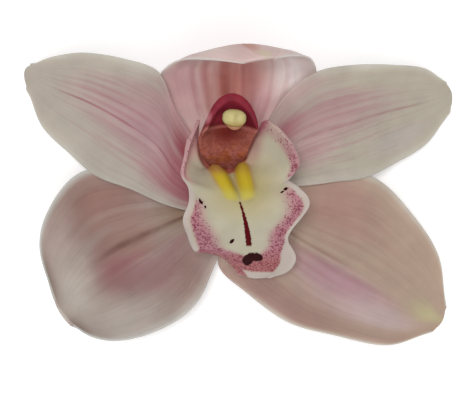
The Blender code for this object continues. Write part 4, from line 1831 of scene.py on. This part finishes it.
def blades() -> list[Blade]:
    """The three sepals and the two petals with their finishes.

    Returns:
        The five blades.
    """
    return [
        Blade(
            "dorsal_sepal", "dorsal_pink", DORSAL_SEPAL_RAILS, Tissue.SEPAL,
            BladeFinish(
                "dorsal_sepal_blush", ground=paint(210, 184, 180), margin=paint(214, 202, 196),
                vein=paint(170, 112, 116), vein_share=0.25, vein_count=9, seed=1.0,
                margin_start=0.88, margin_foot=0.62,
                patches=(
                    # The throat's rust-brown where the base shows through the gap beside the lip, painted
                    # much lighter to make up for the deep shade there.
                    Patch(0.18, 0.8, 0.1, 0.3, paint(206, 116, 100), 0.9),
                    Patch(0.2, -0.5, 0.1, 0.3, paint(206, 116, 100), 0.9),
                    # The salmon-brown middle of the hood's inner face is painted shade under the hood, with
                    # the warm tint of light shining through the sepal.
                    Patch(0.45, 0.05, 0.4, 0.62, paint(190, 130, 122), 1.0),
                    Patch(0.5, 0.75, 0.3, 0.35, paint(196, 160, 164), 0.8),
                    Patch(0.36, -0.4, 0.2, 0.4, paint(216, 178, 180), 0.9),
                    # Painted light: a very pale patch that lifts the shade in the crevice under the right
                    # petal's upper margin.
                    Patch(0.55, -0.7, 0.35, 0.45, paint(236, 222, 220), 0.95),
                    Patch(0.86, -0.05, 0.14, 0.35, paint(184, 138, 124), 0.9),
                    Patch(0.82, 0.65, 0.14, 0.4, paint(214, 196, 190), 0.8),
                    Patch(0.97, -0.3, 0.06, 0.5, paint(200, 192, 160), 0.7),
                ),
                streaks=(
                    Streak(0.58, 0.08, 0.3, 0.68, 0.5), Streak(0.42, 0.07, 0.3, 0.68, 0.5),
                    Streak(0.18, 0.1, 0.25, 0.7, 0.75, paint(160, 92, 84)),
                    Streak(-0.06, 0.05, 0.25, 0.68, 0.4), Streak(-0.2, 0.1, 0.25, 0.7, 0.4),
                ),
            ),
            Relief(wave=0.1),
        ),
        Blade(
            "left_sepal", "left_sepal_blush", LEFT_SEPAL_RAILS, Tissue.SEPAL,
            BladeFinish(
                "left_sepal_blush", ground=paint(166, 152, 144), margin=paint(178, 176, 170),
                vein=paint(130, 92, 86), margin_start=0.9, vein_share=0.16, seed=2.0,
                patches=(
                    # Painted shadow of the left petal: the sepal's upper half is darker under the petal's
                    # margin.
                    Patch(0.5, -0.6, 0.32, 0.6, paint(152, 118, 110), 0.9),
                    Patch(0.48, 0.0, 0.25, 0.45, paint(142, 106, 96), 0.8),
                    Patch(0.2, -0.1, 0.2, 0.7, paint(138, 116, 96), 0.9),
                    Patch(0.36, 0.6, 0.22, 0.5, paint(148, 120, 114), 0.85),
                    Patch(0.62, 0.22, 0.2, 0.42, paint(158, 114, 114), 0.8),
                    Patch(0.5, 0.5, 0.22, 0.3, paint(154, 120, 124), 0.7),
                    Patch(0.78, -0.65, 0.18, 0.45, paint(180, 164, 158), 0.85),
                    Patch(0.86, 0.1, 0.24, 1.1, paint(202, 196, 188), 0.95),
                    Patch(0.7, 0.8, 0.24, 0.4, paint(188, 182, 176), 0.85),
                ),
                streaks=(
                    Streak(0.0, 0.06, 0.12, 0.68, 0.8, paint(98, 60, 50)),
                    Streak(0.34, 0.14, 0.2, 0.66, 0.4, paint(148, 98, 108)),
                    Streak(0.2, 0.08, 0.4, 0.74, 0.35, paint(144, 92, 98)),
                    Streak(0.58, 0.08, 0.35, 0.62, 0.25), Streak(-0.3, 0.08, 0.2, 0.6, 0.2),
                ),
            ),
            Relief(groove=0.6, groove_end=0.75, wave=0.25),
        ),
        Blade(
            "right_sepal", "right_sepal_blush", RIGHT_SEPAL_RAILS, Tissue.SEPAL,
            BladeFinish(
                "right_sepal_blush", ground=paint(168, 148, 132), margin=paint(178, 170, 158),
                vein=paint(146, 104, 100), margin_start=0.92, vein_share=0.18, seed=3.0,
                patches=(
                    Patch(0.42, 0.6, 0.3, 0.5, paint(166, 132, 122), 0.85),
                    Patch(0.6, -0.3, 0.36, 0.42, paint(178, 152, 154), 0.8),
                    Patch(0.52, -0.16, 0.32, 0.26, paint(172, 138, 146), 0.8),
                    Patch(0.76, -0.42, 0.22, 0.34, paint(182, 164, 164), 0.8),
                    Patch(0.48, -0.85, 0.4, 0.42, paint(148, 118, 112), 0.85),
                    Patch(0.82, -0.85, 0.2, 0.35, paint(156, 134, 122), 0.8),
                    Patch(0.93, 0.0, 0.14, 0.4, paint(178, 172, 134), 0.8),
                ),
                streaks=(
                    Streak(-0.3, 0.06, 0.2, 0.66, 0.2, paint(160, 110, 126)),
                    Streak(-0.2, 0.06, 0.25, 0.7, 0.25, paint(156, 102, 118)),
                    Streak(-0.08, 0.06, 0.3, 0.74, 0.35, paint(152, 98, 112)),
                    Streak(0.05, 0.05, 0.2, 0.58, 0.4, paint(124, 86, 74)), Streak(0.3, 0.05, 0.25, 0.6, 0.2),
                ),
            ),
            Relief(groove=0.5, groove_end=0.85, wave=0.3, phase=1.0),
        ),
        Blade(
            "left_petal", "left_petal_pink", LEFT_PETAL_RAILS, Tissue.PETAL,
            BladeFinish(
                "left_petal_blush", ground=paint(176, 169, 158), margin=paint(178, 174, 162),
                vein=paint(158, 104, 118), vein_share=0.3, seed=4.0,
                patches=(
                    Patch(0.42, -0.12, 0.5, 0.78, paint(172, 140, 144), 0.9),
                    Patch(0.32, -0.6, 0.3, 0.6, paint(168, 132, 136), 0.8),
                    Patch(0.36, 0.42, 0.16, 0.45, paint(164, 112, 122), 0.6),
                    Patch(0.26, -0.95, 0.24, 0.5, paint(176, 138, 140), 0.95),
                    Patch(0.2, 0.1, 0.16, 1.1, paint(146, 74, 84), 0.9),
                    Patch(0.29, 0.0, 0.14, 0.7, paint(152, 90, 98), 0.8),
                    # Painted shadow: dark red at the petal's base, beside the lip's left side lobe.
                    Patch(0.15, 0.35, 0.07, 0.6, paint(98, 38, 38), 0.9),
                    Patch(0.23, -0.6, 0.13, 0.45, paint(136, 56, 66), 0.9),
                    # The throat's rust-brown where the base shows through the gap beside the lip, painted
                    # much lighter to make up for the deep shade there.
                    Patch(0.07, -0.85, 0.12, 0.5, paint(216, 118, 98), 1.0),
                ),
                streaks=(
                    Streak(-0.02, 0.04, 0.27, 0.86, 0.8, paint(146, 78, 94)),
                    Streak(-0.13, 0.05, 0.35, 0.8, 0.25), Streak(-0.27, 0.05, 0.4, 0.88, 0.4),
                    Streak(-0.42, 0.05, 0.3, 0.78, 0.25), Streak(-0.56, 0.05, 0.3, 0.78, 0.3),
                    Streak(0.12, 0.05, 0.35, 0.75, 0.25), Streak(0.32, 0.06, 0.3, 0.62, 0.35),
                    Streak(0.5, 0.06, 0.25, 0.48, 0.35),
                ),
            ),
            Relief(wave=0.3, phase=0.6),
        ),
        Blade(
            "right_petal", "right_petal_pink", RIGHT_PETAL_RAILS, Tissue.PETAL,
            BladeFinish(
                "right_petal_blush", ground=paint(176, 170, 156), margin=paint(178, 174, 162),
                vein=paint(160, 112, 120), vein_share=0.25, seed=5.0,
                patches=(
                    Patch(0.44, 0.2, 0.46, 0.66, paint(174, 144, 146), 0.85),
                    Patch(0.3, -0.3, 0.28, 0.5, paint(176, 140, 144), 0.7),
                    Patch(0.22, 0.42, 0.18, 0.5, paint(168, 110, 120), 0.9),
                    Patch(0.3, 0.95, 0.26, 0.45, paint(184, 160, 156), 0.95),
                    Patch(0.36, -0.98, 0.3, 0.26, paint(188, 180, 168), 0.9),
                    Patch(0.76, -0.6, 0.16, 0.35, paint(174, 166, 164), 0.6),
                    # The throat's rust-brown where the base shows through the gap beside the lip, painted
                    # much lighter to make up for the deep shade there.
                    Patch(0.06, 0.8, 0.1, 0.5, paint(216, 118, 98), 1.0),
                ),
                streaks=(
                    Streak(0.0, 0.045, 0.28, 0.9, 0.6, paint(148, 92, 100)),
                    Streak(0.2, 0.05, 0.3, 0.7, 0.25), Streak(0.34, 0.06, 0.28, 0.78, 0.4),
                    Streak(0.47, 0.06, 0.25, 0.72, 0.35), Streak(0.62, 0.05, 0.35, 0.66, 0.25),
                    Streak(-0.2, 0.05, 0.3, 0.62, 0.25), Streak(-0.34, 0.05, 0.35, 0.7, 0.2),
                ),
            ),
            Relief(wave=0.3, phase=2.0),
        ),
    ]


def main() -> None:
    """Builds the surface, the light and every piece of the bloom in order."""
    Studio().build()
    effects = Effects()
    for piece in [*blades(), Lip(), Column(), AntherCap(), Pollinarium(), Stalk()]:
        log.info("built %s", piece.build(effects).name)


if __name__ == "__main__":
    logging.basicConfig(level=logging.INFO)
    main()
